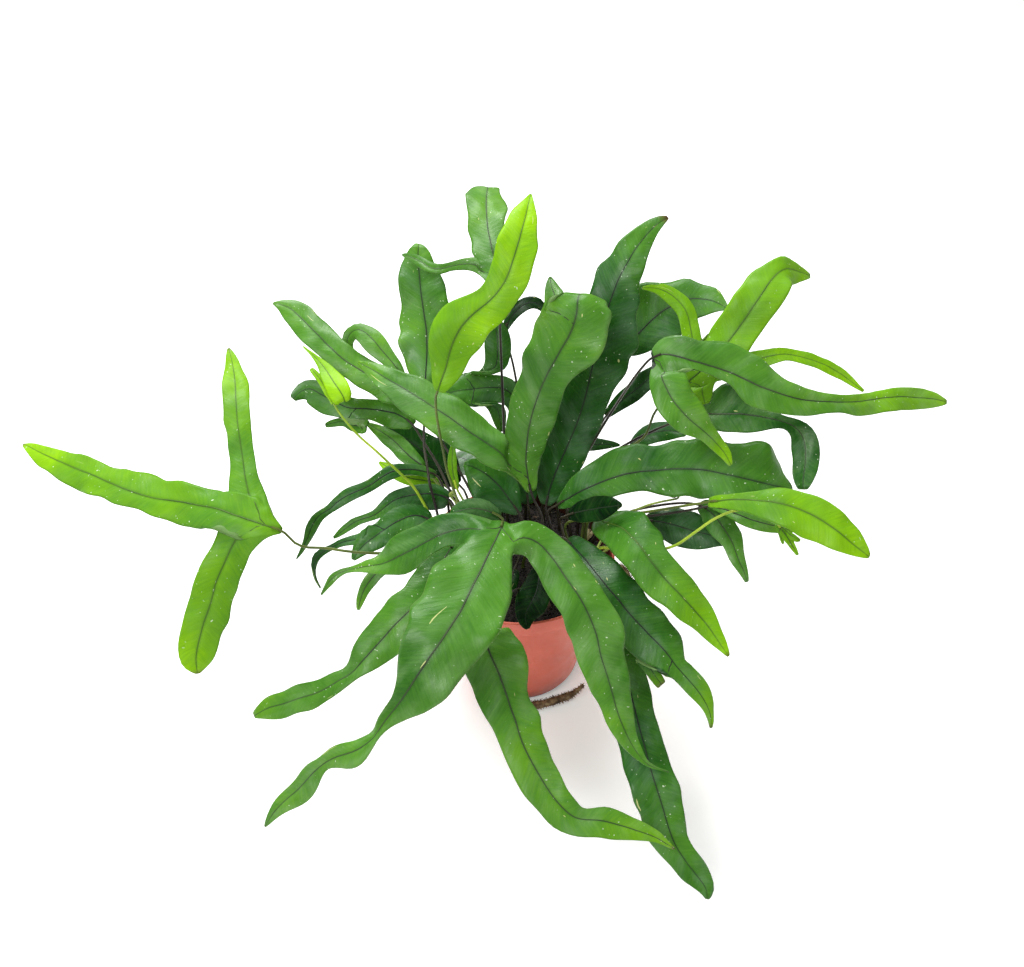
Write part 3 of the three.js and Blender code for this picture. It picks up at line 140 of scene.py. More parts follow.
sky = bpy.data.worlds.new("studio")
sky.use_nodes = True
light = sky.node_tree.nodes["Background"].inputs
light["Color"].default_value = (1, 1, 1, 1)
light["Strength"].default_value = SKY_STRENGTH
scene.world = sky


def soft_lamp(name, place, size, watts):
    lamp = bpy.data.lights.new(name, "AREA")
    lamp.size = size
    lamp.energy = watts
    holder = bpy.data.objects.new(name, lamp)
    holder.location = place
    aim = PLANT_HEART - Vector(place)
    holder.rotation_euler = aim.to_track_quat("-Z", "Y").to_euler()
    scene.collection.objects.link(holder)


soft_lamp("window", (-0.35, 0.9, 1.5), size=1.0, watts=40)
soft_lamp("front", (-0.5, -0.9, 1.4), size=0.7, watts=17)


# %% [markdown]
# ## How a frond is measured
#
# A blade is a strip with a midrib down its middle, and side lobes that leave its edge. It
# could be modelled by pulling points about, but then its place in the picture is guesswork.
# Here a frond is a short list instead. Each row of `line` is a place on the midrib: its pixel
# in the picture, its height above the table in mm, and half the blade's width there in mm,
# with a pair of widths where the two sides differ and a last number, in degrees, where the
# blade is twisted. `stem` is the stipe in the same way, from the soil up, and `foot` is where
# it stands in the soil. A lobe leaves the edge `at` mm along the midrib, on a foot that is
# twice `base` wide.
#
# `leaf` is the finish, and `tone` says how yellow and how light the green is at the blade's base
# and at its tip; the lowest tones, of the leaves deep in the crown, hold painted shade as well as
# their own dark green. `dry` is the share of the blade that has turned brown at its tip, and
# `stipe` is the finish of a stipe that isn't an old, black brown one.

# %% The fronds of the front left, the far left, the back and the centre
FRONDS = [
  dict(
    name="frond_front_left", leaf="mid", tone=(0.39, 0.52), stipe="olive", foot=[2, -8],
    stem=[[533, 540, 132], [520, 540, 165], [507, 533, 190]],
    line=[
      [503, 521, 200, 3], [500, 530, 203, 8], [494, 543, 204, [9.5, 10]],
      [486, 560, 204, [14, 17]], [476, 580, 204, [19, 21]], [462, 608, 202, [20.5, 21.5]],
      [446, 634, 198, [19, 21.5]], [430, 657, 192, [18, 16.5]], [414, 680, 184, [17, 10.5]],
      [403, 697, 175.5, [13, 4.4]], [394, 709, 169, [7.5, 4.5]], [385, 720, 164, 3.6],
      [375, 734, 158, 2.8, 40], [364, 744, 153, [6.5, 4.4], 20], [350, 752, 147, [9.3, 5.6], 0],
      [336, 757, 141, [5, 6.4], -10], [324, 763, 135.5, [2.3, 2.4], -30],
      [313, 773, 129, [5.8, 5.2], -10], [298, 789, 118, [8.2, 4.4]], [284, 801, 110.5, [5.2, 4.4]],
      [273, 813, 104, 3.2], [264, 827, 97.5, 0.8],
    ],
    lobes=[
      dict(
        at=15, base=11.5, line=[
          [469, 528, 203, [9, 8.6]], [452, 530.5, 200.8, [7.6, 9.6]], [435, 537, 197.5, [6.7, 10]],
          [416, 548, 191, [7.8, 11]], [400, 556, 186, [10, 11]], [385, 563, 180, [6.5, 8]],
          [370, 566, 174, 3.6], [352, 569, 166.5, 1.3], [339, 572, 160, 2], [329, 581, 152, 2],
          [321, 595, 144, 0.7],
        ],
      ),
      dict(
        at=15, base=11.5, line=[
          [522, 537, 200, 9], [537, 542, 196, [10.6, 9.6]], [551, 556, 192, [11, 10.6]],
          [565, 576, 187, [11.4, 12]], [580, 598, 180, [12.6, 12.4]],
          [590, 617, 174, [13.2, 13.6]], [597, 636, 166.5, [15.8, 13.6]],
          [600, 653, 160, [12.8, 12.2]], [606, 672, 152, [12, 11.4]], [612, 692, 144, [9.4, 9.4]],
          [616, 708, 137, [9.2, 7.7]], [622, 725, 130, [7.2, 6.2]], [632, 745, 121.5, [4.4, 4.8]],
          [646, 764, 112.5, 1], [656, 768, 110.5, 0.5], [669, 772, 108, 0.4],
        ],
      ),
    ],
  ),
  dict(
    name="frond_left_shade", leaf="dark", tone=(0.08, 0.14), foot=[-30, 30],
    stem=[[464, 490, 113]],
    line=[
      [458, 484, 116, 4], [448, 474, 121, 11], [436, 462, 126, 14], [420, 449, 131, 13],
      [405, 438, 135, 10], [392, 429, 138, 5], [384, 425, 139, 1],
    ],
  ),
  dict(
    name="frond_crown_hump", leaf="mid", tone=(0.20, 0.24), stipe="olive", foot=[-12, -26],
    stem=[[500, 535, 150], [503, 524, 170]],
    line=[
      [501, 517, 183, 3], [489, 511, 188, 6], [476, 508, 190, 6.8], [463, 510, 190, 5.6],
      [451, 514, 188, 2],
    ],
  ),
  dict(
    name="frond_far_left", leaf="bright", tone=(0.52, 0.84), dry=0.02, stipe="olive",
    foot=[-18, -6],
    stem=[
      [470, 548, 138], [430, 550, 152], [395, 553, 162], [368, 553, 167], [345, 551, 170],
      [325, 548, 173], [305, 547, 175], [295, 543, 178], [287, 535, 183],
    ],
    line=[
      [282, 531, 186, 2], [272, 527, 189, 5], [262, 524, 191, [8, 9]], [250, 520, 192, 12],
      [235, 515, 193, 13], [220, 510, 193, 13], [200, 505, 192, [12.5, 11]],
      [183, 502, 191, [12, 10.5]], [158, 499, 189, [9.5, 11]], [141, 495, 188, [7.5, 15]],
      [121, 488, 186, [9, 12]], [99, 478, 184, [10.5, 9.5]], [73, 467, 180.5, [10.5, 9]],
      [48, 456, 176.5, [7.5, 6]], [32, 448, 173.5, [4, 3.5]], [23, 444, 172, 0.8],
    ],
    lobes=[
      dict(
        at=24, base=17, line=[
          [250, 498, 195, [13, 9]], [245, 475, 200, [8, 7]], [241.5, 450, 206, 6.4],
          [238, 428, 213, 7], [236, 402, 218, 7.8], [235, 380, 222, 7.2], [232.5, 364, 225, 4.6],
          [229, 349, 228, 0.8],
        ],
      ),
      dict(
        at=24, base=17, line=[
          [241, 532, 188, [12, 14]], [231, 548, 181, [9.5, 10]], [224, 565, 174, 11],
          [215.5, 583, 166, 11], [211.5, 602, 158, 11], [205, 619, 150, 11.3], [199, 642, 140, 11],
          [195.5, 660, 132, 9.3], [197, 670, 128, 5.5], [197.5, 674, 126, 1.5],
        ],
      ),
    ],
  ),
  dict(
    name="frond_back_bright", leaf="bright", tone=(0.70, 0.90), stipe="olive", foot=[-24, 6],
    stem=[
      [464, 520, 138], [459, 505, 148], [453, 488, 160], [447, 470, 173], [443, 450, 187],
      [439, 430, 202], [436, 410, 215], [436, 395, 226],
    ],
    line=[
      [438, 391, 230, [2, 4]], [441, 381, 235, [5, 7.5]], [445, 370, 240, [8, 9.5]],
      [450, 350, 250, [12.5, 12.5]], [456, 335, 258, [15.5, 14]], [465, 322, 265, [15, 14.5]],
      [475, 312, 270, [11, 14]], [487, 303, 275, [8, 12.5]], [497, 293, 280, [8.5, 11]],
      [507, 277, 287, [10.3, 12]], [513, 260, 294, [11, 11.5]], [520, 237, 302, [10.8, 10.4]],
      [526, 214, 308, [8.2, 6]], [531, 192, 312, 0.8],
    ],
  ),
  dict(
    name="frond_back_tall", leaf="mid", tone=(0.42, 0.44), foot=[-8, 34],
    stem=[[505, 470, 140], [504, 430, 170], [502, 380, 200], [500, 330, 224], [499, 300, 236]],
    line=[
      [498, 292, 239, 3], [497, 278, 243, [8, 10]], [495, 262, 248, [11, 12]],
      [491, 244, 254, [12.5, 11]], [488, 228, 259, [12, 8.5]], [486.5, 214, 263, [12.5, 14]],
      [486, 203, 265, [13, 14.5]], [487, 194, 266.5, [13.5, 9]], [488, 186, 266, [11, 8.5]],
    ],
    lobes=[
      dict(
        at=18, base=7, line=[
          [477, 264, 247, [4.5, 5.5]], [465, 264, 247, 3.8], [452, 266, 246.5, 2.6],
          [440, 270, 246, 2.3], [430, 268, 246, 3.2], [420, 261, 247, 3.6], [411, 257, 247.5, 2.6],
          [402, 254.5, 248, 0.6],
        ],
      ),
    ],
  ),
  dict(
    name="frond_back_left", leaf="dark", tone=(0.44, 0.46), foot=[-34, 4],
    stem=[
      [441, 526, 126], [437, 512, 132], [434, 500, 138], [430, 485, 146], [427, 465, 154],
      [424, 445, 162], [424, 425, 170], [424, 400, 180],
    ],
    line=[
      [425, 392, 184, 4], [426, 374, 192, [11, 9]], [427, 354, 200, [16, 14]],
      [427, 337, 207, [18, 17]], [425, 320, 214, [16, 17]], [422, 302, 221, [14, 17]],
      [420, 285, 228, [14, 15.5]], [419, 270, 234, 12.5], [418, 257, 239, [9.5, 9]],
      [418, 249, 242, [6.5, 7]], [419, 244, 244, 2.5],
    ],
  ),
  dict(
    name="frond_left_long", leaf="mid", tone=(0.42, 0.50), foot=[-20, 22],
    stem=[[470, 490, 134], [450, 455, 148], [430, 425, 160], [414, 408, 168]],
    line=[
      [406, 401, 172, 3], [398, 395, 176, 8], [385, 385, 181, 9.5], [362, 371, 187, 9.5],
      [342, 358, 192, 9], [328, 345, 196, 9.5], [314, 331, 200, 10], [300, 317, 203, 9],
      [288, 307, 205, 7], [273, 303, 206, 0.9],
    ],
    lobes=[
      dict(
        at=9, base=6, line=[
          [398, 369, 188, [5, 4.2]], [387, 356, 193, [5.5, 5]], [377, 344, 198, [9, 6]],
          [368, 334, 201, [8, 6.6]], [358, 329, 202, [5.5, 5.6]], [350, 333, 199, [5, 5]],
          [346, 342, 194, [4.5, 4]], [350, 351, 189, 2.4], [355, 355, 186.5, 1],
        ],
      ),
    ],
  ),
  dict(
    name="frond_centre", leaf="mid", tone=(0.46, 0.52), foot=[13, -6],
    stem=[[543, 528, 127], [542, 518, 132], [539, 510, 138], [534, 500, 146]],
    line=[
      [531, 492, 151, 3], [528, 478, 161, [6, 7]], [526, 462, 172, [9.5, 9.5]],
      [527, 445, 184, [13, 11]], [529, 428, 195, [14, 12.5]], [533, 411, 206, [14.5, 13.5]],
      [538, 396, 217, [14.5, 13.5]], [544, 381, 228, [15.5, 13]], [552, 366, 238, [18, 13.5]],
      [560, 352, 247, [20.5, 16]], [567, 340, 254, [20.5, 20]], [573, 327, 261, [19.5, 20]],
      [576.5, 314, 267, [18.5, 19.5]], [577.5, 303, 271, [17.5, 19]], [579, 293, 274, [9.5, 16.5]],
    ],
    lobes=[
      dict(
        at=20, base=12, line=[
          [500, 452, 182, 10.5], [485, 442, 187, 11], [467, 430, 192, 12], [450, 418, 196, 12.5],
          [433, 407, 200, 12.5], [416, 396, 203, 12], [400, 386, 205, 10], [385, 377, 207, 7.5],
          [370, 368, 208, 5], [358, 362, 209, 1],
        ],
      ),
      dict(
        at=125, base=8, line=[
          [557, 297, 273, 6.5], [552, 289, 274.5, 4.6], [550.5, 283, 275.5, 2.5],
          [550, 277, 276.5, 0.6],
        ],
      ),
    ],
  ),
]
print("fronds so far:", len(FRONDS))

# %% The fronds on the left
FRONDS += [
  dict(
    name="frond_left_young", leaf="bright", tone=(0.85, 0.92), stipe="lime", foot=[-41, -4],
    stem=[
      [430, 515, 130], [420, 497, 140], [412, 485, 148], [403, 476, 154], [390, 464, 161],
      [375, 450, 169], [360, 437, 177], [347, 423, 184], [338, 411, 189],
    ],
    line=[
      [334, 404, 192, 1.6], [329, 394, 195, 2.6], [323, 383, 198, 2.2], [316, 374, 201, 2],
      [311, 368, 203, 1.5],
    ],
    lobes=[
      dict(
        at=4.5, base=4, line=[
          [346, 402, 194, [5, 4]], [342, 394, 197, [7.6, 6.6]], [334, 383, 200, [6.4, 7]],
          [328, 372.5, 202, [5.2, 5.8]], [321, 363, 204, [2.4, 2.8]], [312, 354, 206, 1.5],
          [303, 346, 207, 0.6],
        ],
      ),
    ],
  ),
  dict(
    name="frond_left_upper_dark", leaf="dark", tone=(0.42, 0.36), foot=[-30, 16],
    stem=[[452, 495, 130], [436, 462, 142], [420, 436, 150]],
    line=[
      [413, 425, 154, 4], [401, 415, 158, [11, 8.4]], [386, 411, 160, [9, 7.2]],
      [368, 409, 162, [6.4, 6.4]], [350, 408, 163, [7, 7]], [334, 401, 165, [9.8, 7.6]],
      [320, 394, 167, [10.4, 8]], [309, 388, 168, [9.4, 8.2]], [300, 392, 167, [5, 5.4]],
      [293, 399, 166, 2.4],
    ],
    lobes=[
      dict(
        at=44, base=5, line=[
          [368, 427, 157, 5], [355, 426, 154, 4], [344, 421.5, 152, 2.6], [334, 422.5, 151, 3],
          [325, 425, 150, 1.6],
        ],
      ),
    ],
  ),
  dict(
    name="frond_left_upper_green", leaf="mid", tone=(0.35, 0.50), stipe="olive", foot=[-38, 12],
    stem=[[452, 508, 124], [442, 490, 130], [430, 474, 136]],
    line=[
      [424, 467, 139, 2.5], [414, 460, 142, 5], [403, 450, 145, 6.5], [392, 439, 147, 6],
      [380, 431, 148, 4.5], [368, 424, 149, 1.2],
    ],
  ),
  dict(
    name="frond_left_narrow", leaf="dark", tone=(0.32, 0.36), foot=[-44, 5],
    stem=[[448, 505, 127], [444, 490, 134], [440, 480, 139]],
    line=[
      [436, 475, 142, 2.5], [424, 471, 146, 3.4], [408, 469, 149, 3.4], [394, 471, 151, 4.2],
      [382, 477, 150, 3.6], [368, 487, 149, 3.4], [354, 493, 147, 4], [343, 498, 145, 4.4],
      [336, 503, 143, [4, 3]], [329, 510, 141, 2.2], [320, 514, 138, [3.4, 3]],
      [314, 521, 134.5, 4], [310, 531, 130, [3.6, 3.2]], [306, 541, 125, 2.2],
      [302, 549, 121.5, 1], [296, 559, 118, 0.5],
    ],
  ),
  dict(
    name="frond_left_yellow_under", leaf="bright", tone=(0.75, 0.95), stipe="olive",
    foot=[-36, 24],
    stem=[[458, 500, 118], [450, 490, 121]],
    line=[
      [442, 484, 124, 2], [428, 481, 128, 4.5], [412, 479, 131, 5], [397, 473, 134, 4.5],
      [386, 466, 136, 3], [379, 462, 137, 0.9],
    ],
  ),
  dict(
    name="frond_left_dark", leaf="dark", tone=(0.22, 0.50), foot=[-42, -13],
    stem=[[462, 522, 124], [455, 508, 130]],
    line=[
      [449, 499, 134, [7, 4]], [436, 494, 137, [11, 7]], [420, 494, 139, [8, 6.4]],
      [404, 496, 140, [7.4, 5]], [392, 501, 140, [5.6, 6]], [382, 509, 138.5, [5, 3]],
      [373, 516, 137, 2.4], [362, 519, 136, 2.6], [352, 523, 133, 3.2], [345, 530, 130, 2.6],
      [334, 538, 126, 0.8],
    ],
  ),
  dict(
    name="frond_left_low_dark", leaf="dark", tone=(0.20, 0.24), foot=[-36, -22],
    stem=[[468, 545, 124], [450, 536, 134], [438, 527, 140]],
    line=[
      [430, 520, 143, 4], [417, 515, 146, 8], [402, 519, 147, 8.5], [388, 527, 146, 8],
      [373, 538, 143, 7.5], [360, 548, 139, 6], [353, 560, 134, 1.2],
    ],
    lobes=[
      dict(
        at=34, base=4, line=[
          [360, 540, 141, 3.4], [346, 541, 138, [2.8, 2.4]], [334, 545, 135, 2],
          [325, 551, 131.5, 1.6], [319, 555, 129, [1.4, 4.6]], [314.5, 561, 126, [1.3, 3.6]],
          [313.5, 569, 123, 1.1], [314.5, 579, 118.5, 1], [321, 588, 114, 0.6],
        ],
      ),
    ],
  ),
  dict(
    name="frond_left_hanging", leaf="mid", tone=(0.34, 0.50), foot=[-30, -31],
    stem=[[455, 575, 122], [430, 570, 136], [405, 566, 142]],
    line=[
      [388, 567, 142, 3], [378, 571, 138, 4.5], [370, 580, 131, 4], [363, 592, 124, 3.6],
      [358, 610, 116, 0.9],
    ],
  ),
  dict(
    name="frond_front_left_under", leaf="mid", tone=(0.32, 0.60), foot=[-22, -30],
    stem=[[482, 572, 130], [470, 560, 142], [460, 548, 150]],
    line=[
      [455, 542, 153, 4], [446, 555, 156, 8], [437, 575, 156, 11.5], [424, 596, 152, 12],
      [406, 614, 147, 12], [388, 632, 141, 12], [374, 648, 135, 11.5], [363, 661, 130, 8],
      [352, 672, 125, 4.5, 25], [337, 682, 120, 6, 10], [320, 692, 114, 7], [301, 698, 108, 7.5],
      [282, 704, 102, 7.5], [266, 709, 97, 6], [254, 716, 92, 2],
    ],
  ),
]
print("fronds so far:", len(FRONDS))

# %% The fronds over the pot and at the lower right
FRONDS += [
  dict(
    name="frond_front", leaf="mid", tone=(0.48, 0.62), dry=0.02, foot=[2, -32],
    stem=[[516, 590, 128], [500, 600, 142], [488, 608, 148]],
    line=[
      [483, 634, 145, [17, 14]], [490, 655, 139, [18, 17]], [498, 672, 134, [16.5, 16]],
      [505, 690, 128.5, [14.3, 15]], [510, 705, 124, [9.9, 14]], [515, 720, 118.5, [13.3, 13]],
      [520, 737, 113, [11.8, 11.8]], [527, 753, 108, [12.3, 11.3]], [540, 776, 101, [10, 12.3]],
      [554, 798, 95, [8, 10.3]], [565, 810, 92, [8, 11.2]], [576, 818, 90, [6.6, 10.6]],
      [590, 819, 88.5, [4.3, 8.8]], [605, 821, 87, [8.4, 9]], [620, 825, 85, [6.6, 7.4]],
      [640, 832, 81.5, [4.7, 3.8]], [656, 838, 77.5, [3.4, 1.8]], [675, 849, 71.5, 0.8],
    ],
  ),
  dict(
    name="frond_front_right", leaf="dark", tone=(0.30, 0.44), foot=[20, -28],
    stem=[[548, 582, 122], [570, 597, 126], [592, 617, 124]],
    line=[
      [604, 630, 120, 4], [616, 652, 114, 9], [627, 680, 107, 12], [635, 710, 100, [10.6, 13.5]],
      [643, 740, 92, [10.3, 13.8]], [651, 770, 84, [11.8, 14]], [660, 798, 77, [12, 13.5]],
      [668, 825, 67, [10.3, 13]], [674, 842, 60.5, [7.6, 10.5]], [683, 857, 55, [7.6, 9]],
      [694, 872, 49, [8.6, 7]], [703, 884, 44, [6.5, 5]], [708, 892, 41.5, [4.2, 3.4]],
      [707, 899, 39.5, 1],
    ],
  ),
  dict(
    name="frond_right_low_dark", leaf="dark", tone=(0.12, 0.64), dry=0.02, foot=[28, -16],
    stem=[[551, 540, 126], [560, 537, 136]],
    line=[
      [567, 540, 142, 5], [578, 551, 147, 9.5], [593, 569, 149, 13], [609, 589, 147, 14.5],
      [627, 610, 142, [13.6, 15.5]], [642, 627, 137, [14.2, 15]], [656, 641, 132, [14, 13.5]],
      [668, 655, 127.5, [10.8, 10]], [678, 668, 123, [6, 6.2]], [688, 679, 118.5, [6.6, 5.6]],
      [698, 691, 113, [7.4, 5.4]], [706, 704, 107.5, [5, 3.4]], [711, 715, 103, [2.4, 2.2]],
      [711, 728, 98, 0.8],
    ],
    lobes=[
      dict(
        at=106, base=5, line=[
          [640, 656, 121, 4.2], [650, 667, 116, 4], [656, 677, 111, 3.6], [662, 685, 107, 3.2],
        ],
      ),
    ],
  ),
  dict(
    name="frond_right_low", leaf="bright", tone=(0.34, 0.76), dry=0.02, stipe="olive",
    foot=[36, -6],
    stem=[[565, 526, 124], [582, 519, 136]],
    line=[
      [597, 519, 147, 5], [606, 523, 153, 10], [618, 526, 160, [13, 12]],
      [633, 538, 166, [14.5, 13]], [650, 560, 164, [12, 13.5]], [665, 578, 159, [10, 13]],
      [680, 595, 153, [11, 10.5]], [694, 610, 147, [10, 8.6]], [705, 622, 142, [7.8, 6.2]],
      [714, 634, 138, [5, 6]], [720, 644, 134.5, [4, 3.4]], [729, 656, 131, 1],
    ],
  ),
  dict(
    name="frond_centre_dark", leaf="dark", tone=(0.16, 0.36), dry=0.03, foot=[24, 4],
    stem=[[546, 511, 128]],
    line=[
      [546, 505, 132, 4], [550, 488, 141, [10.5, 9.5]], [559, 465, 155, [14.5, 12.5]],
      [570, 440, 172, 13.5], [580, 415, 187, 14], [587, 390, 202, 14], [592, 367, 215, [14, 20]],
      [598, 342, 229, [14, 23]], [605, 318, 242, [14, 20]], [611, 298, 252, [13, 17]],
      [619, 279, 262, [14.5, 12.5]], [628, 262, 270, [11.5, 9.5]], [637, 247, 276, [9.5, 8]],
      [649, 232, 281, [7.5, 5]], [659, 223, 284, [5.5, 3]], [668, 217, 286, 1.2],
    ],
  ),
  dict(
    name="frond_back_wavy", leaf="dark", tone=(0.32, 0.50), foot=[26, 28],
    stem=[[556, 476, 132], [570, 440, 148], [586, 405, 166], [602, 376, 184], [615, 360, 197]],
    line=[
      [624, 350, 206, 6], [636, 337, 213, [16, 14]], [650, 322, 221, [20, 17]],
      [664, 310, 228, [22, 18]], [674, 303.5, 231.5, [15, 17]], [681, 300.5, 233.5, [9.5, 15.5]],
      [690, 298.5, 235, [17, 13.5]], [698, 298, 235.7, [7.6, 13]], [706, 299, 236, [8.2, 12]],
      [713, 300.5, 236, [11, 9]], [718, 303, 235.5, [4.6, 6]], [728, 309, 234, 1],
    ],
  ),
]
print("fronds so far:", len(FRONDS))

# %% The fronds on the right
FRONDS += [
  dict(
    name="frond_right_bright", leaf="bright", tone=(0.66, 0.76), stipe="olive", foot=[40, 14],
    stem=[
      [592, 486, 132], [612, 466, 150], [632, 446, 166], [645, 436, 175], [655, 412, 190],
      [668, 398, 200], [680, 388, 208],
    ],
    line=[
      [686, 384, 212, 4], [698, 374, 219, 9], [714, 358, 228, 12], [728, 342, 237, 13],
      [741, 324, 246, 12.5], [755, 304, 256, 12.5], [766, 287, 263, [13, 12.6]],
      [775, 275, 267, [10.5, 12]], [783, 269, 268, [8, 9.5]], [795, 269, 265, [5.6, 7.6]],
      [804, 272, 261, [3.4, 4.6]], [812, 275, 257, 1.4],
    ],
    lobes=[
      dict(
        at=26, base=5, line=[
          [694, 346, 232, 5.5], [691, 330, 239, 5.6], [688, 315, 245, 5.6], [680, 302, 250, 5.2],
          [668, 293, 253, 4.6], [655, 288, 255, 2.8], [642, 288, 256, 0.8],
        ],
      ),
      dict(
        at=20, base=6.5, line=[
          [734, 366, 222, 6], [748, 362, 225, 5.5], [765, 357, 229, 5], [785, 354, 231, 3.8],
          [805, 358, 230, 3.4], [825, 365, 227, 3.6], [845, 376, 222, 3], [864, 391, 216, 0.9],
        ],
      ),
      dict(
        at=8, base=7, line=[
          [700, 388, 214, 7.2], [703, 396, 210, 6.5], [705, 404, 206, 3],
        ],
      ),
    ],
  ),
  dict(
    name="frond_right_arching", leaf="mid", tone=(0.40, 0.86), foot=[33, 20],
    stem=[
      [566, 486, 126], [585, 456, 146], [604, 424, 171], [622, 396, 200], [637, 374, 228],
      [648, 361, 244],
    ],
    line=[
      [652, 358, 249, 3], [662, 354, 253, 9.5], [676, 356, 254, [11, 9]],
      [692, 361, 253, [12.8, 5]], [710, 366, 251, [14, 4.2]], [728, 372, 248, [15.6, 4.6]],
      [745, 380, 245, [15.2, 7.5]], [762, 388, 242, [12.6, 12]], [780, 394, 239, [9, 11]],
      [800, 399, 236, [6.6, 8.8]], [820, 401, 233, [5, 6]], [842, 402, 229, [3.8, 6.4]],
      [860, 401, 226, [3.4, 8.2]], [880, 398, 223, [4.6, 8]], [905, 397, 219, [5.4, 7.4]],
      [926, 398, 216, [5.4, 6]], [940, 400, 213.5, [3.4, 3.6]], [947, 402, 212, 1.4],
    ],
    lobes=[
      dict(
        at=11, base=16, line=[
          [660, 376, 247, [13, 7.5]], [668, 392, 242, [13, 8]], [678, 407, 237, [12, 9.8]],
          [690, 420, 231, [10.5, 9.2]], [703, 431, 225, [7.2, 4.6]], [713, 440, 219, [5, 3.6]],
          [724, 452, 213, 3.7], [731, 465, 207, 1.4],
        ],
      ),
    ],
  ),
  dict(
    name="frond_right_grey", leaf="mid", tone=(0.40, 0.26), foot=[38, 26],
    stem=[[590, 470, 136], [620, 448, 156], [655, 430, 176], [680, 420, 190]],
    line=[
      [690, 417, 195, 4], [702, 414, 199, [9, 8.5]], [714, 414, 201.5, [17, 9]],
      [726, 414, 203, [20, 9.5]], [742, 414, 204.5, [15, 10]], [756, 415.5, 205, [9, 10.4]],
      [768, 418, 205, [5, 8]], [779, 421, 205, [2.8, 3]], [787, 423, 204, [3, 2.4]],
      [797, 428, 202, [6.4, 5.5]], [804, 438, 198, 7.6], [806, 452, 193, 8], [805, 467, 187, 7.7],
      [803, 480, 182, 6.2], [803, 489.5, 178.5, 3],
    ],
  ),
  dict(
    name="frond_right_glossy", leaf="dark", tone=(0.33, 0.44), foot=[28, -4],
    stem=[[548, 512, 134]],
    line=[
      [557, 505, 141, 3], [568, 498, 148, [6.5, 6]], [582, 491, 154, [11.5, 8]],
      [600, 483, 160, [15, 10.5]], [620, 476, 165, [17.5, 11.5]], [638, 472, 168, [17.5, 10.5]],
      [655, 470, 170, [13.5, 13.5]], [668, 469, 171, [16.5, 16]], [685, 469, 173, [18.5, 17]],
      [705, 470, 174, [19, 16]], [727, 475, 175, [21.5, 13]], [746, 480, 174, [22.5, 10.5]],
      [764, 485, 172, [24.5, 8.5]], [778, 488, 169, [20, 5.5]], [788, 490, 166.5, [14, 2.5]],
      [793, 490, 165.5, [4, 0.8]],
    ],
  ),
  dict(
    name="frond_right_young", leaf="bright", tone=(0.62, 0.80), stipe="olive", foot=[42, 0],
    stem=[
      [590, 518, 134], [620, 515, 150], [646, 512, 163], [677, 507, 177], [702, 503, 187],
      [718, 500, 193],
    ],
    line=[
      [708, 502, 190, 3.2], [728, 500, 196, [3.4, 4.4]], [742, 499, 199, [2.6, 6.8]],
      [758, 500, 202, [5.4, 7.8]], [776, 502, 204, [8, 10.4]], [795, 507, 204, [9.8, 12.6]],
      [815, 516, 202, [10.2, 12.6]], [833, 528, 199, [10, 10.4]], [848, 540, 195, [8.6, 7.6]],
      [860, 550, 191, [5.8, 4.6]], [869, 557, 188, 1],
    ],
  ),
  dict(
    name="frond_right_star", leaf="bright", tone=(0.55, 0.68), stipe="lime", foot=[40, -14],
    stem=[
      [600, 548, 134], [636, 552, 148], [674, 546, 162], [694, 533, 171], [716, 518, 180],
      [738, 510, 186], [756, 512, 188], [770, 518, 187],
    ],
    line=[
      [776, 523, 186, 1.4], [781, 529, 184, 2.2], [787, 537, 181, 2.4], [793, 547, 177, 1.6],
      [798, 555, 174, 0.8],
    ],
    lobes=[
      dict( at=5, base=2.2, line=[[791, 537, 183, 1.6], [800, 541, 182, 0.7]] ),
      dict( at=5, base=2.2, line=[[782, 538, 180, 1.4], [783, 544, 178, 0.7]] ),
    ],
  ),
  dict(
    name="frond_right_pale", leaf="mid", tone=(0.42, 0.56), foot=[45, 7],
    stem=[[610, 520, 128], [650, 516, 142], [690, 510, 155]],
    line=[
      [712, 506, 161, 2], [728, 510, 164, 3.5], [745, 517, 165, 4.8], [763, 523, 165, 5],
      [782, 527, 164, 4], [799, 530, 162, 0.9],
    ],
  ),
  dict(
    name="frond_right_under_dark", leaf="dark", tone=(0.18, 0.22), foot=[44, -8],
    stem=[[618, 530, 124], [634, 524, 132]],
    line=[
      [644, 520, 136, 4], [658, 521, 139, 9], [675, 525, 141, 12], [693, 531, 141, 11],
      [710, 535, 140, 8], [724, 540, 138, 4], [734, 545, 136, 1],
    ],
  ),
  dict(
    name="frond_right_hanging", leaf="mid", tone=(0.36, 0.46), foot=[46, 13],
    stem=[[625, 514, 126], [655, 506, 138], [685, 503, 147]],
    line=[
      [699, 505, 151, 3], [704, 507, 152.5, [7, 4.5]], [712, 513, 153, [8.6, 7]],
      [720, 523, 152, [8.2, 8]], [727, 534, 149, [8, 7.4]], [732, 542, 147, [9, 6.4]],
      [735, 550, 145, [3.6, 4.6]], [738, 560, 142, [4, 4.8]], [744, 571, 138, [2.8, 3]],
      [747, 582, 133.5, 1],
    ],
  ),
]
print("fronds so far:", len(FRONDS))

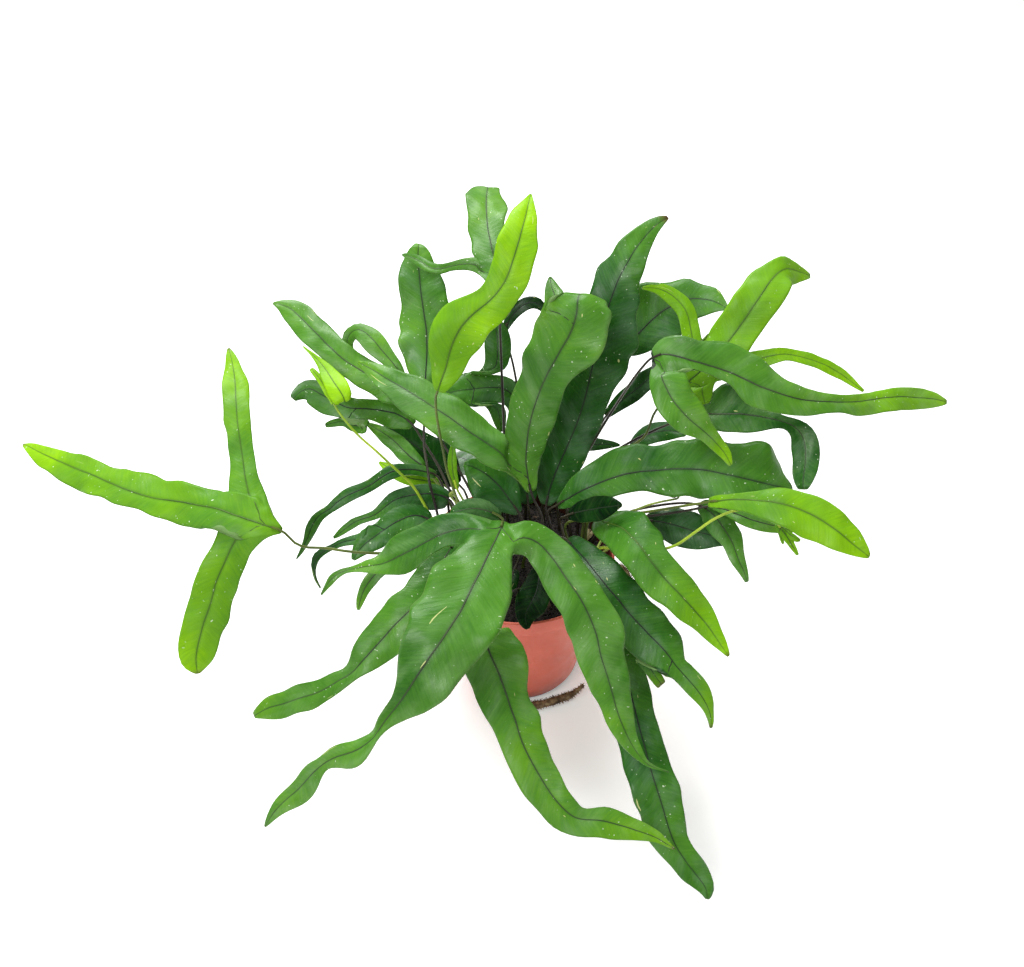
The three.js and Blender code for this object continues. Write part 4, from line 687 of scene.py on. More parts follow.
# %% The fronds of the crown, and those behind it
FRONDS += [
  dict(
    name="frond_crown_small", leaf="dark", tone=(0.04, 0.08), foot=[34, -12],
    stem=[[560, 520, 132], [564, 517, 139]],
    line=[
      [568, 515, 144, 3], [579, 511, 152, 6.5], [594, 509, 160, 7.5], [608, 507, 167, 6],
      [622, 505, 171, 1],
    ],
  ),
  dict(
    name="frond_crown_left_deep", leaf="dark", tone=(0.04, 0.06), foot=[-8, 2],
    stem=[[513, 518, 120]],
    line=[
      [511, 511, 126, 4], [509, 501, 134, 7.5], [506, 489, 141, 8], [504, 479, 145, 3],
    ],
  ),
  dict(
    name="frond_soil_left", leaf="dark", tone=(0.12, 0.12), foot=[-7, -32],
    stem=[[517, 564, 113]],
    line=[
      [514, 570, 117, 3], [511, 580, 119, 5], [507, 591, 116, 4.5], [505, 600, 112, 2],
    ],
  ),
  dict(
    name="frond_back_arch", leaf="dark", tone=(0.18, 0.18), foot=[4, 40],
    stem=[[530, 440, 148], [520, 400, 170], [512, 360, 192], [506, 340, 202]],
    line=[
      [504, 332, 207, 2], [508, 321, 213, 3.5], [517, 310, 219, 4], [529, 302, 223, 4],
      [540, 304, 222, 3.5], [547, 314, 216, 1],
    ],
  ),
  dict(
    name="frond_back_dark", leaf="dark", tone=(0.26, 0.30), foot=[8, 22],
    stem=[[529, 512, 118]],
    line=[
      [528, 504, 122, 4], [527, 492, 128, 9], [525, 474, 137, 10], [523, 450, 149, 8],
      [521, 425, 161, 6.5], [517, 402, 172, 7], [507, 390, 178, 9], [490, 387, 181, 9],
      [473, 389, 183, 9], [458, 391, 184, 7], [445, 394, 184, 2],
    ],
    lobes=[
      dict(
        at=103, base=6, line=[
          [498, 408, 172, 6], [500, 420, 165, 5.5], [502, 432, 158, 2],
        ],
      ),
      dict(
        at=103, base=6, line=[
          [497, 365, 194, 8], [498, 345, 204, 9], [496, 328, 212, 7], [492, 316, 218, 2],
        ],
      ),
    ],
  ),
  dict(
    name="frond_crown_dark", leaf="dark", tone=(0.18, 0.34), foot=[-4, -18],
    stem=[[526, 530, 124], [522, 520, 130]],
    line=[
      [519, 513, 134, 3], [510, 500, 141, [12, 8.5]], [500, 486, 148, [17, 11]],
      [488, 475, 154, [17, 11]], [474, 467, 158, [10, 7]], [464, 464, 160, 1.5],
    ],
  ),
  dict(
    name="frond_rolled", leaf="bright", tone=(0.62, 0.68), stipe="lime", foot=[-16, 12],
    stem=[[468, 508, 128], [462, 498, 135]],
    line=[
      [457, 489, 142, 1.5], [453, 475, 150, 3], [452, 460, 157, 3], [453, 446, 164, 2],
      [454, 438, 167, 0.8],
    ],
  ),
  dict(
    name="frond_crossing", leaf="dark", tone=(0.12, 0.28), foot=[16, 34],
    stem=[[541, 490, 122], [541, 474, 129]],
    line=[
      [543, 462, 134, 2], [552, 451, 137, 4], [568, 446, 139, 4.5], [588, 444, 140, 4.5],
      [606, 444, 140, 3.5], [620, 445, 139, 0.9],
    ],
  ),
  dict(
    name="frond_behind_right", leaf="dark", tone=(0.24, 0.28), foot=[44, 20],
    stem=[[600, 478, 124], [620, 458, 132]],
    line=[
      [632, 446, 138, 3], [644, 436, 142, 6.5], [658, 431, 146, 7], [672, 431, 149, 6],
      [686, 434, 151, 2],
    ],
  ),
  dict(
    name="frond_behind_narrow", leaf="dark", tone=(0.14, 0.22), foot=[31, 31],
    stem=[[576, 470, 124], [597, 432, 140]],
    line=[
      [606, 416, 156, 2.5], [620, 402, 164, 5], [634, 391, 172, 6.5], [646, 381, 180, 7],
      [656, 370, 187, 4], [662, 362, 191, 1],
    ],
  ),
  dict(
    name="frond_soil_front", leaf="dark", tone=(0.06, 0.10), foot=[8, -42],
    stem=[[536, 563, 119]],
    line=[
      [539, 566, 123, 3], [539, 577, 124, 7], [537, 591, 123, 8.6], [530, 605, 122, 10],
      [524, 616, 117, 7], [526, 624, 114, 3.5], [528, 629, 112, 1],
    ],
  ),
  dict(
    name="frond_back_low_left", leaf="dark", tone=(0.22, 0.26), foot=[-12, 42],
    stem=[[492, 484, 116]],
    line=[
      [486, 478, 119, 4], [478, 468, 118, 9], [470, 462, 112, 11], [462, 458, 102, 11],
      [455, 456, 90, 9], [450, 455, 78, 3],
    ],
  ),
  dict(
    name="frond_back_low_right", leaf="dark", tone=(0.06, 0.08), foot=[20, 42],
    stem=[[550, 480, 116]],
    line=[
      [552, 472, 119, 4], [558, 462, 120, 9], [562, 456, 115, 11], [566, 452, 105, 11],
      [568, 449, 91, 8], [570, 448, 79, 2],
    ],
  ),
]
side_lobes = sum(len(frond.get("lobes", [])) for frond in FRONDS)
print("fronds:", len(FRONDS), "side lobes:", side_lobes)

# %% [markdown]
# ## Smooth lines through the lists
#
# A curve through measured points should pass each of them and not swing wide between them.
# A centripetal Catmull-Rom curve does that, also where the points are unevenly spaced. It is
# written out here so that the blade can be read at any length along it.

# %% A curve through points, and a midrib read by its length
READINGS = 24                    # places read on a curve for each of its knots
NEARLY_NOTHING = 1e-9            # keeps a division by a length from failing


def unit(vectors):
    """Each vector at a length of 1."""
    lengths = np.linalg.norm(vectors, axis=-1, keepdims=True)
    return vectors / np.maximum(lengths, NEARLY_NOTHING)


def knot_gap(a, b):
    """The centripetal curve's share of t between two knots."""
    return np.maximum(np.linalg.norm(b - a, axis=1) ** 0.5, 1e-3)[:, None]


def cubic_through(knots):
    """A function of t, from 0 to the last knot's number, that gives place and direction."""
    knots = np.asarray(knots, float)
    ends = np.array([2 * knots[0] - knots[1], *knots, 2 * knots[-1] - knots[-2]])

    def read(t):
        t = np.atleast_1d(t)
        k = np.clip(t.astype(int), 0, len(knots) - 2)
        s = (t - k)[:, None]
        p0, p1, p2, p3 = ends[k], ends[k + 1], ends[k + 2], ends[k + 3]
        d0, d1, d2 = knot_gap(p0, p1), knot_gap(p1, p2), knot_gap(p2, p3)
        m1 = ((p1 - p0) / d0 - (p2 - p0) / (d0 + d1) + (p2 - p1) / d1) * d1
        m2 = ((p2 - p1) / d1 - (p3 - p1) / (d1 + d2) + (p3 - p2) / d2) * d1
        a, b = 2 * p1 - 2 * p2 + m1 + m2, 3 * p2 - 3 * p1 - 2 * m1 - m2
        place = ((a * s + b) * s + m1) * s + p1
        slope = (3 * a * s + 2 * b) * s + m1
        return place, unit(slope)

    return read


def lengths_of(points):
    """The way from the first point to each point."""
    steps = np.linalg.norm(np.diff(points, axis=0), axis=1)
    return np.concatenate([[0.0], np.cumsum(steps)])


def even_points(knots, gap):
    """Points about one gap apart on the smooth curve through the knots."""
    t = np.linspace(0, len(knots) - 1, READINGS * len(knots))
    places, _ = cubic_through(knots)(t)
    reach = lengths_of(places)
    count = max(4, round(reach[-1] / gap))
    return cubic_through(knots)(np.interp(np.linspace(0, reach[-1], count + 1), reach, t))[0]


def smooth_line(rows):
    """The midrib through a list's rows: its length, and a reader of its rows by length."""
    curve = cubic_through([sight(*row[:3]) for row in rows])
    pairs = [row[3] if isinstance(row[3], list) else [row[3], row[3]] for row in rows]
    extras = np.array([[*pair, row[4] if len(row) > 4 else 0] for pair, row in zip(pairs, rows)])
    t = np.linspace(0, len(rows) - 1, READINGS * (len(rows) - 1) + 1)
    reach = lengths_of(curve(t)[0])

    def read(lengths):
        where = np.interp(lengths, reach, t)
        place, along = curve(where)
        knots = np.arange(len(rows))
        left, right, roll = (np.interp(where, knots, extras[:, k]) for k in range(3))
        return dict(place=place, along=along, left=left, right=right, roll=roll,
                    length=np.asarray(lengths, float))

    return reach[-1], read


# %% [markdown]
# ## The net of a blade
#
# A blade's rows lie square to its midrib and face partly the viewer and partly the sky, as
# leaves do. Each row is a low arch, and its edges rise and fall along the blade, as the real
# ones do because a blade's edge grows longer than its middle. A lobe's first row is a run of
# points on the main strip's edge, so that blade and lobe are one skin. Between that run and
# the lobe's own rows the skin follows a smooth cubic, which rounds the notch beside the lobe.

# %% Rows of points across a blade
COLUMNS = 17                     # points in a row
MIDDLE = COLUMNS // 2            # the point of a row that lies on the midrib
ROW_GAP = 3.0                    # mm between two rows
ARCH, WAVE_SHARE, WAVE_LENGTH = 0.10, 0.13, 38.0
RIPPLE_SHARE, RIPPLE_LENGTH = 0.11, 14.0
RIPPLE_SWAY = 1.7                # how far a wave shifts the ripples on it
SIDE_PHASE = 2.0                 # by how much the right edge's waves lead the left one's
UNEVEN, UNEVEN_LENGTH = 0.34, 9.0     # how much the outline wanders, and over what length
SIDE_SPOTS = (0.0, 9.0)          # where in the noise the two edges are read
SKY_SHARE = 0.35                 # how much a leaf faces the sky rather than the viewer
WIDEST, LEAST_SEEN = 1.35, 0.2   # a row seen on the slant is widened, up to this much
ACROSS = np.linspace(-1, 1, COLUMNS)


def dot(a, b):
    """The dot product of each pair of vectors."""
    return np.sum(a * b, axis=-1, keepdims=True)


def facing_of(rows):
    """For each row: the direction across, the direction it faces, and how much it is widened."""
    place, along = rows["place"], rows["along"]
    to_eye = unit(EYE - place)
    facing = to_eye * (1 - SKY_SHARE) + UP * SKY_SHARE
    facing = unit(facing - along * dot(facing, along))
    across = unit(np.cross(along, facing))
    roll = np.radians(rows["roll"])[:, None]
    turned = across * np.cos(roll) + np.cross(along, across) * np.sin(roll)
    facing = facing * np.cos(roll) + np.cross(along, facing) * np.sin(roll)
    seen_across = turned - to_eye * dot(turned, to_eye)
    seen_along = unit(along - to_eye * dot(along, to_eye))
    seen = np.linalg.norm(np.cross(seen_across, seen_along), axis=1)
    widen = np.minimum(WIDEST, 1 / np.maximum(seen, LEAST_SEEN))
    widen = np.where(rows["roll"] == 0, widen, 1.0)
    return turned, facing, widen


def row_points(rows, phase):
    """The points of the rows, and half the width of each row at each of them."""
    across, facing, widen = facing_of(rows)
    half = np.where(ACROSS[None, :] < 0, rows["left"][:, None], rows["right"][:, None])
    length = rows["length"][:, None]
    uneven = [[noise.noise(Vector((s / UNEVEN_LENGTH, spot, phase))) for spot in SIDE_SPOTS]
              for s in rows["length"]]
    uneven = np.where(ACROSS[None, :] < 0, *np.array(uneven).T[:, :, None])
    half = half * widen[:, None] * (1 + UNEVEN * uneven)
    side = np.where(ACROSS > 0, SIDE_PHASE, 0.0)[None, :]
    wave = np.sin(2 * math.pi * length / WAVE_LENGTH + phase + side)
    sway = RIPPLE_SWAY * wave + phase * 2 + side
    ripple = np.sin(2 * math.pi * length / RIPPLE_LENGTH + sway)
    edge = ACROSS[None, :] ** 2
    rise = half * edge * (WAVE_SHARE * wave - ARCH + RIPPLE_SHARE * ripple * edge)
    shift = (half * ACROSS)[..., None]
    points = rows["place"][:, None] + across[:, None] * shift + facing[:, None] * rise[..., None]
    return points, half


def stations_of(total, joints):
    """Lengths of the rows: even ones, and as many rows in each joint as a row has points."""
    stations, start = [], 0.0
    for joint in joints:
        low, high = joint["at"] - joint["base"], joint["at"] + joint["base"]
        count = max(1, round((low - start) / ROW_GAP))
        stations += list(np.linspace(start, low, count, endpoint=False))
        joint["row"] = len(stations)
        stations += list(np.linspace(low, high, COLUMNS)[:-1])
        start = high
    count = max(1, round((total - start) / ROW_GAP))
    return np.array(stations + list(np.linspace(start, total, count + 1)))


# %% Joining the rows into one skin
NOTCH_HUG = 0.9                  # how much a lobe's outer lines start along the strip's edge
SLANT_STEPS = 4                  # steps of a side rib from the midrib to the lobe's foot


class Net:
    """Points with their four-sided cells, and for each cell corner its place on the blade."""

    def __init__(self):
        self.points, self.cells, self.corners, self.ribs = [], [], [], []

    def add(self, rows):
        """Takes in rows of points and gives their numbers."""
        first = len(self.points)
        self.points += list(rows.reshape(-1, 3))
        return first + np.arange(rows.shape[0] * rows.shape[1]).reshape(rows.shape[:2])

    def join(self, index, lengths, half):
        """Cells between rows; a corner keeps (across, mm along, half width, share of length)."""
        share = lengths / lengths[-1]
        for i in range(len(index) - 1):
            for k in range(COLUMNS - 1):
                ring = [(i, k), (i, k + 1), (i + 1, k + 1), (i + 1, k)]
                places = [(ACROSS[b], lengths[a], half[a][b], share[a]) for a, b in ring]
                self.cells.append([index[a][b] for a, b in ring])
                self.corners.append(places)


def notch_rows(edge, outward, first, along):
    """Rows on a cubic from the main strip's edge to a lobe's first own row."""
    gap = np.linalg.norm(first - edge, axis=1, keepdims=True)
    count = max(2, round(float(gap.mean()) / ROW_GAP))
    inward = unit(edge[MIDDLE] - edge)
    hug = np.abs(ACROSS[:, None]) ** 3
    leave = unit(outward * (1 - hug) + inward * hug * NOTCH_HUG) * gap
    arrive = along * gap
    t = np.linspace(0, 1, count + 1)[1:-1, None, None]
    return (edge * (2 * t ** 3 - 3 * t ** 2 + 1) + leave * (t ** 3 - 2 * t ** 2 + t)
            + first * (3 * t ** 2 - 2 * t ** 3) + arrive * (t ** 3 - t ** 2))


def side_rib(index, first, step):
    """Points from the midrib at a lobe's near end, slanting out to the middle of its foot."""
    low, middle = first + 1, first + MIDDLE
    steps = [(round(low + (middle - low) * k / SLANT_STEPS),
              MIDDLE + MIDDLE // SLANT_STEPS * k * step) for k in range(SLANT_STEPS + 1)]
    return [index[place] for place in steps]


def add_lobe(net, lobe, first, step, points, index, phase):
    """Grows a lobe out of the main strip's right edge (step 1) or its left one (step -1)."""
    run, side = slice(first, first + COLUMNS), (COLUMNS - 1 if step > 0 else 0)
    edge = index[run, side][::-step]
    outward = unit(points[run, side] - points[run, side - step])[::-step]
    total, read = smooth_line(lobe["line"])
    own = read(stations_of(total, []))
    lobe_points, half = row_points(own, phase)
    start = np.array([net.points[k] for k in edge])
    between = notch_rows(start, outward, lobe_points[0], own["along"][0])
    reach = float(np.linalg.norm(lobe_points[0][MIDDLE] - start[MIDDLE]))
    added = net.add(np.concatenate([between, lobe_points]))
    lengths = np.concatenate([np.linspace(-reach, 0, len(between) + 2)[:-1], own["length"]])
    wide = np.concatenate([np.repeat(half[:1], len(between) + 1, axis=0), half])
    net.join(np.concatenate([edge[None], added]), lengths + reach, wide)
    net.ribs.append([*side_rib(index, first, step), *added[:, MIDDLE]])


def blade_net(frond):
    """The net of a whole blade, with the numbers of the points along each of its ribs."""
    net = Net()
    phase = float(len(frond["name"]))     # a number that starts each leaf's waves elsewhere
    lobes = frond.get("lobes", [])
    joints = {lobe["at"]: dict(at=lobe["at"], base=lobe["base"]) for lobe in lobes}
    total, read = smooth_line(frond["line"])
    rows = read(stations_of(total, [joints[at] for at in sorted(joints)]))
    points, half = row_points(rows, phase)
    index = net.add(points)
    net.join(index, rows["length"], half)
    net.ribs.append(list(index[:, MIDDLE]))
    across = facing_of(rows)[0]
    for lobe in lobes:
        first = joints[lobe["at"]]["row"]
        aim = sight(*lobe["line"][0][:3]) - rows["place"][first + MIDDLE]
        step = 1 if np.dot(aim, across[first + MIDDLE]) > 0 else -1
        add_lobe(net, lobe, first, step, points, index, phase + 1)
    net.points = np.array(net.points)
    return net


# %% [markdown]
# ## From a net to a leaf
#
# A leaf could be one sheet with a Solidify modifier. Here the two faces are laid by hand,
# because they have different finishes: the upper one is glossy and green, the underside is
# paler. Before that the skin is relaxed, which rounds the notches, and then quilted: between
# two side veins the blade swells a little, along the midrib it sinks, and it buckles softly.
#
# What the finish needs to know is kept on the mesh: how far across the blade a corner is, the side
# vein that it is nearest to, how yellow and how light its green is, with painted shade in the dark
# tones of leaves deep in the plant, and whether it is on the upper face, on the rim, or dry.

# %% Relaxing and quilting the skin
VEIN_GAP = 9.0                   # mm between side veins along the midrib
VEIN_SLANT = 0.75                # mm a side vein runs forward for each mm it runs outward
VEIN_SHIFT = 0.31                # how far the right side's veins lie ahead, in vein gaps
SWELL = 0.05                     # mm up between two side veins, and as much down at them
SINK, SINK_WIDTH = 0.35, 1.6     # mm the blade sinks along the midrib, and how widely
SLOW_BUCKLES, QUICK_BUCKLES = (0.055, 1.7), (0.15, 0.7)     # turns in a mm, and height in mm
THICKNESS = 0.7                  # mm between the two faces
RELAX_ROUNDS = 4
RIB_LIFT = 0.12                  # mm the midribs stand nearer to the upper face


def sides_of(cells):
    """Each cell's four sides, as pairs of points."""
    return np.concatenate([cells[:, [k, (k + 1) % 4]] for k in range(4)])


def rim_of(sides):
    """The cell sides that belong to one cell only, in that cell's order."""
    size = sides.max() + 1
    there, back = sides[:, 0] * size + sides[:, 1], sides[:, 1] * size + sides[:, 0]
    return sides[~np.isin(there, back)]


def relaxed(points, sides, rim, rounds):
    """Moves points towards the middle of their neighbours, rim points along the rim only."""
    on_rim = np.zeros(len(points), bool)
    on_rim[rim.ravel()] = True
    links = np.concatenate([sides[~on_rim[sides[:, 0]]], rim, rim[:, ::-1]])
    count = np.maximum(np.bincount(links[:, 0], minlength=len(points)), 1)[:, None]
    for _ in range(rounds):
        total = np.zeros_like(points)
        np.add.at(total, links[:, 0], points[links[:, 1]])
        points = (points + total / count) / 2
    return points


def normals_of(points, cells):
    """The direction that the skin faces at each point."""
    a, b, c, d = (points[cells[:, k]] for k in range(4))
    face = np.cross(c - a, d - b)
    total = np.zeros_like(points)
    for k in range(4):
        np.add.at(total, cells[:, k], face)
    return unit(total)


def at_points(values, cells, size):
    """The mean of a value of the cells' corners at each point."""
    total, count = np.zeros(size), np.zeros(size)
    for k in range(4):
        np.add.at(total, cells[:, k], values[:, k])
        np.add.at(count, cells[:, k], 1)
    return total / np.maximum(count, 1)


def veins_at(corners):
    """The number of the side vein at each corner, with its fraction between two veins."""
    across, along, half = corners[..., 0], corners[..., 1], corners[..., 2]
    start = along - np.abs(across) * half * VEIN_SLANT
    return start / VEIN_GAP + VEIN_SHIFT * (across > 0)


def buckle(place):
    """How far the skin stands off its smooth form at a place, in mm."""
    return sum(height * noise.noise(Vector(place) * turns)
               for turns, height in (SLOW_BUCKLES, QUICK_BUCKLES))


def quilted(skin, cells, corners):
    """The skin with its swells between side veins, its sunk midribs and its buckles."""
    size = len(skin)
    swell = np.cos(2 * math.pi * veins_at(corners)) * (1 - corners[..., 0] ** 4)
    sunk = np.exp(-(corners[..., 0] * corners[..., 2] / SINK_WIDTH) ** 2)
    height = -SWELL * at_points(swell, cells, size) - SINK * at_points(sunk, cells, size)
    height += np.array([buckle(place) for place in skin])
    return skin + normals_of(skin, cells) * height[:, None]


# %% The two faces of a blade, and what the finish reads
TONE_BEND = 1.5                  # above 1, most of the yellowing is near the tip
DRY_FADE = 0.03                  # share of the blade over which green turns brown


def new_object(name, places, faces):
    """An object from places in mm and the faces between them."""
    mesh = bpy.data.meshes.new(name)
    mesh.from_pydata((np.asarray(places) * MM).tolist(), [], [list(face) for face in faces])
    mesh.update()
    made = bpy.data.objects.new(name, mesh)
    scene.collection.objects.link(made)
    return made


def keep(mesh, name, domain, values):
    """Keeps a number for each point or corner on the mesh."""
    layer = mesh.attributes.new(name, "FLOAT", domain)
    layer.data.foreach_set("value", np.asarray(values, np.float32).ravel())


def twice(values):
    return np.concatenate([values, values])


def keep_for_finish(mesh, frond, cells, corners, rim, wall):
    """Keeps what the finish reads, on the upper face, the underside and the wall."""
    size = len(mesh.vertices) // 2
    on_rim = np.zeros(size)
    on_rim[rim.ravel()] = 1
    share = at_points(corners[..., 3], cells, size)
    for name, values in (("across", corners[..., 0]), ("vein", veins_at(corners))):
        on_wall = twice(at_points(values, cells, size))[wall]
        faces = [values.ravel(), values[:, ::-1].ravel(), on_wall.ravel()]
        keep(mesh, name, "CORNER", np.concatenate(faces))
    keep(mesh, "upper", "POINT", np.concatenate([np.ones(size), np.zeros(size)]))
    keep(mesh, "rim", "POINT", twice(on_rim))
    base, tip = frond["tone"]
    keep(mesh, "tone", "POINT", twice(base + (tip - base) * share ** TONE_BEND))
    dry = np.clip((share - 1 + frond.get("dry", 0.0)) / DRY_FADE, 0, 1)
    keep(mesh, "dry", "POINT", twice(dry))


def blade_object(frond):
    """The blade of a frond as an object, and the courses of its midribs in mm."""
    net = blade_net(frond)
    cells, corners = np.array(net.cells), np.array(net.corners)
    sides = sides_of(cells)
    rim = rim_of(sides)
    skin = quilted(relaxed(net.points, sides, rim, RELAX_ROUNDS), cells, corners)
    size = len(skin)
    outward = normals_of(skin, cells)
    half_thick = outward * THICKNESS / 2
    wall = np.stack([rim[:, 0], rim[:, 0] + size, rim[:, 1] + size, rim[:, 1]], axis=1)
    faces = np.concatenate([cells, cells[:, ::-1] + size, wall])
    places = np.concatenate([skin + half_thick, skin - half_thick])
    made = new_object(frond["name"].replace("frond_", "leaf_"), places, faces)
    keep_for_finish(made.data, frond, cells, corners, rim, wall)
    return made, [skin[rib] + outward[rib] * RIB_LIFT for rib in net.ribs]


# %% [markdown]
# ## Stipes and midribs
#
# A stipe is a wire-thin stem, and it runs on into the blade as the midrib, dark and slightly
# raised on the upper face. Each lobe has a thinner rib that starts on the main one. They could
# be painted, but then they would cast no shadow and show no edge from the side. They all
# follow a path, so a tree of Geometry Nodes draws them: curves that carry their own radius
# become tubes, get their finish, and are joined to the blade.

# %% Curves that carry a radius, and the tree that makes tubes of them
def curve_object(name, paths):
    """A curve object of poly splines; each path is its points and its radii in mm."""
    data = bpy.data.curves.new(name, "CURVE")
    data.dimensions = "3D"
    for points, radii in paths:
        spline = data.splines.new("POLY")
        spline.points.add(len(points) - 1)
        flat = np.concatenate([np.asarray(points) * MM, np.ones((len(points), 1))], axis=1)
        spline.points.foreach_set("co", flat.ravel())
        spline.points.foreach_set("radius", np.asarray(radii, float) * MM)
    made = bpy.data.objects.new(name, data)
    scene.collection.objects.link(made)
    return made


def socket_in(tree, name, kind, value=None):
    """Gives the tree an input and tells by what name a modifier sets it."""
    socket = tree.interface.new_socket(name, in_out="INPUT", socket_type=kind)
    if value is not None:
        socket.default_value = value
    return socket.identifier


def wire(tree, *wires):
    """Links nodes. A wire is a node, its output, the next node and its input."""
    for source, out, target, into in wires:
        tree.links.new(source.outputs[out], target.inputs[into])


def new_tree(name):
    """A tree that takes geometry and gives geometry, with its two end nodes."""
    tree = bpy.data.node_groups.new(name, "GeometryNodeTree")
    tree.interface.new_socket("Geometry", in_out="INPUT", socket_type="NodeSocketGeometry")
    tree.interface.new_socket("Geometry", in_out="OUTPUT", socket_type="NodeSocketGeometry")
    return tree, tree.nodes.new("NodeGroupInput"), tree.nodes.new("NodeGroupOutput")


def tube_tree():
    """Joins tubes round the curves of another object to the mesh that it works on."""
    tree, given, result = new_tree("tubes_along_curves")
    names = {
        "paths": socket_in(tree, "Paths", "NodeSocketObject"),
        "sides": socket_in(tree, "Sides", "NodeSocketInt", 8),
        "finish": socket_in(tree, "Finish", "NodeSocketMaterial"),
    }
    paths, ring, tube, smooth, real, finish, join, radius = (
        tree.nodes.new("GeometryNode" + kind) for kind in
        ("ObjectInfo", "CurvePrimitiveCircle", "CurveToMesh", "SetShadeSmooth",
         "RealizeInstances", "SetMaterial", "JoinGeometry", "InputRadius"))
    ring.inputs["Radius"].default_value = 1
    tube.inputs["Fill Caps"].default_value = True
    wire(tree,
         (given, "Paths", paths, "Object"), (given, "Sides", ring, "Resolution"),
         (paths, "Geometry", tube, "Curve"), (ring, "Curve", tube, "Profile Curve"),
         (radius, "Radius", tube, "Scale"), (tube, "Mesh", real, "Geometry"),
         (real, "Geometry", finish, "Geometry"), (given, "Finish", finish, "Material"),
         (given, "Geometry", join, "Geometry"), (finish, "Geometry", join, "Geometry"),
         (join, "Geometry", smooth, "Geometry"), (smooth, "Geometry", result, "Geometry"))
    return tree, names


TUBES, TUBE_INPUTS = tube_tree()


def bake(piece):
    """Turns what the modifiers make into the piece's plain mesh."""
    graph = bpy.context.evaluated_depsgraph_get()
    made = bpy.data.meshes.new_from_object(piece.evaluated_get(graph), depsgraph=graph,
                                           preserve_all_data_layers=True)
    piece.modifiers.clear()
    old, piece.data = piece.data, made
    made.name = piece.name
    bpy.data.meshes.remove(old)
    return piece


def add_tubes(piece, paths, finish, sides):
    """Joins tubes to a piece; each path is its points and its radii in mm."""
    curves = curve_object(piece.name + "_paths", paths)
    grow = piece.modifiers.new("tubes", "NODES")
    grow.node_group = TUBES
    grow[TUBE_INPUTS["paths"]] = curves
    grow[TUBE_INPUTS["sides"]] = sides
    grow[TUBE_INPUTS["finish"]] = finish
    bake(piece)
    bpy.data.curves.remove(curves.data)
    return piece


def tube_piece(name, paths, finish, sides):
    """A piece that is tubes alone."""
    return add_tubes(new_object(name, np.zeros((0, 3)), []), paths, finish, sides)


# %% [markdown]
# ## Finishes of the leaves
#
# The blades are leathery: dark to bright green, with pale patches that shine, where a thin coat of
# wax lies and where painted sheen is laid in the colour, fine fibres across the blade, faint side
# veins, a darker line along the midrib, a thin pale rim, and a few specks and scratches. Each of
# these could be painted from a picture. Here they are node patterns on the blade's own values, so
# they follow the leaf however it bends, and no two leaves are the same.

# %% Building blocks for node materials
# A Mix node has sockets for numbers, vectors and colours. These are the places of its colours.
MIX_SHARE, MIX_FIRST, MIX_LAST, MIX_RESULT = 0, 6, 7, 2


class Shader:
    """A small helper that adds nodes to a material and links them by name."""

    def __init__(self, name):
        self.material = bpy.data.materials.new(name)
        self.material.use_nodes = True
        self.tree = self.material.node_tree
        self.main = self.tree.nodes["Principled BSDF"]

    def node(self, kind, links=None, **settings):
        made = self.tree.nodes.new("ShaderNode" + kind)
        for key, value in settings.items():
            setattr(made, key, value)
        for key, value in (links or {}).items():
            self.put(made.inputs[key], value)
        return made

    def put(self, socket, value):
        """Links a socket to a node or an output, or sets it to a plain value."""
        if hasattr(value, "is_output"):
            self.tree.links.new(value, socket)
        elif hasattr(value, "outputs"):
            self.tree.links.new(value.outputs[0], socket)
        else:
            socket.default_value = value

    def value(self, name):
        return self.node("Attribute", attribute_name=name).outputs["Fac"]

    def math(self, kind, a, b=0.0, c=0.0):
        return self.node("Math", {0: a, 1: b, 2: c}, operation=kind)

    def spread(self, value, low, high, first=0.0, last=1.0):
        """Maps the range from low to high onto first to last, and holds it there."""
        links = {"Value": value, "From Min": low, "From Max": high,
                 "To Min": first, "To Max": last}
        return self.node("MapRange", links).outputs["Result"]

    def blend(self, share, first, last):
        """A colour that goes from the first to the last as the share goes from 0 to 1."""
        made = self.node("Mix", data_type="RGBA")
        self.put(made.inputs[MIX_SHARE], share)
        for place, colour in ((MIX_FIRST, first), (MIX_LAST, last)):
            self.put(made.inputs[place], (*colour, 1) if isinstance(colour, tuple) else colour)
        return made.outputs[MIX_RESULT]

    def noise(self, scale, detail=3.0, where=None):
        links = {"Vector": where or self.place(), "Scale": scale, "Detail": detail}
        return self.node("TexNoise", links).outputs["Fac"]

    def place(self):
        return self.node("TexCoord").outputs["Object"]

    def on_leaf(self, along, across, world):
        """A place on the blade, in vein gaps along it and half widths across it, which also
        differs from leaf to leaf because a share of the place in space is added."""
        x = self.math("MULTIPLY", self.value("vein"), along)
        y = self.math("MULTIPLY", self.value("across"), across)
        flat = self.node("CombineXYZ", {"X": x, "Y": y})
        space = self.node("VectorMath", {0: self.place(), "Scale": world}, operation="SCALE")
        return self.node("VectorMath", {0: flat, 1: space}, operation="ADD").outputs[0]

    def ramp(self, value, stops):
        made = self.node("ValToRGB", {"Fac": value})
        band = made.color_ramp
        for k, (at, colour) in enumerate(stops):
            stop = band.elements[k] if k < 2 else band.elements.new(at)
            stop.position = at
            stop.color = (*colour, 1)
        return made.outputs["Color"]

    def bump(self, height, depth, strength, under=None):
        links = {"Height": height, "Distance": depth, "Strength": strength}
        if under:
            links["Normal"] = under
        return self.node("Bump", links).outputs["Normal"]
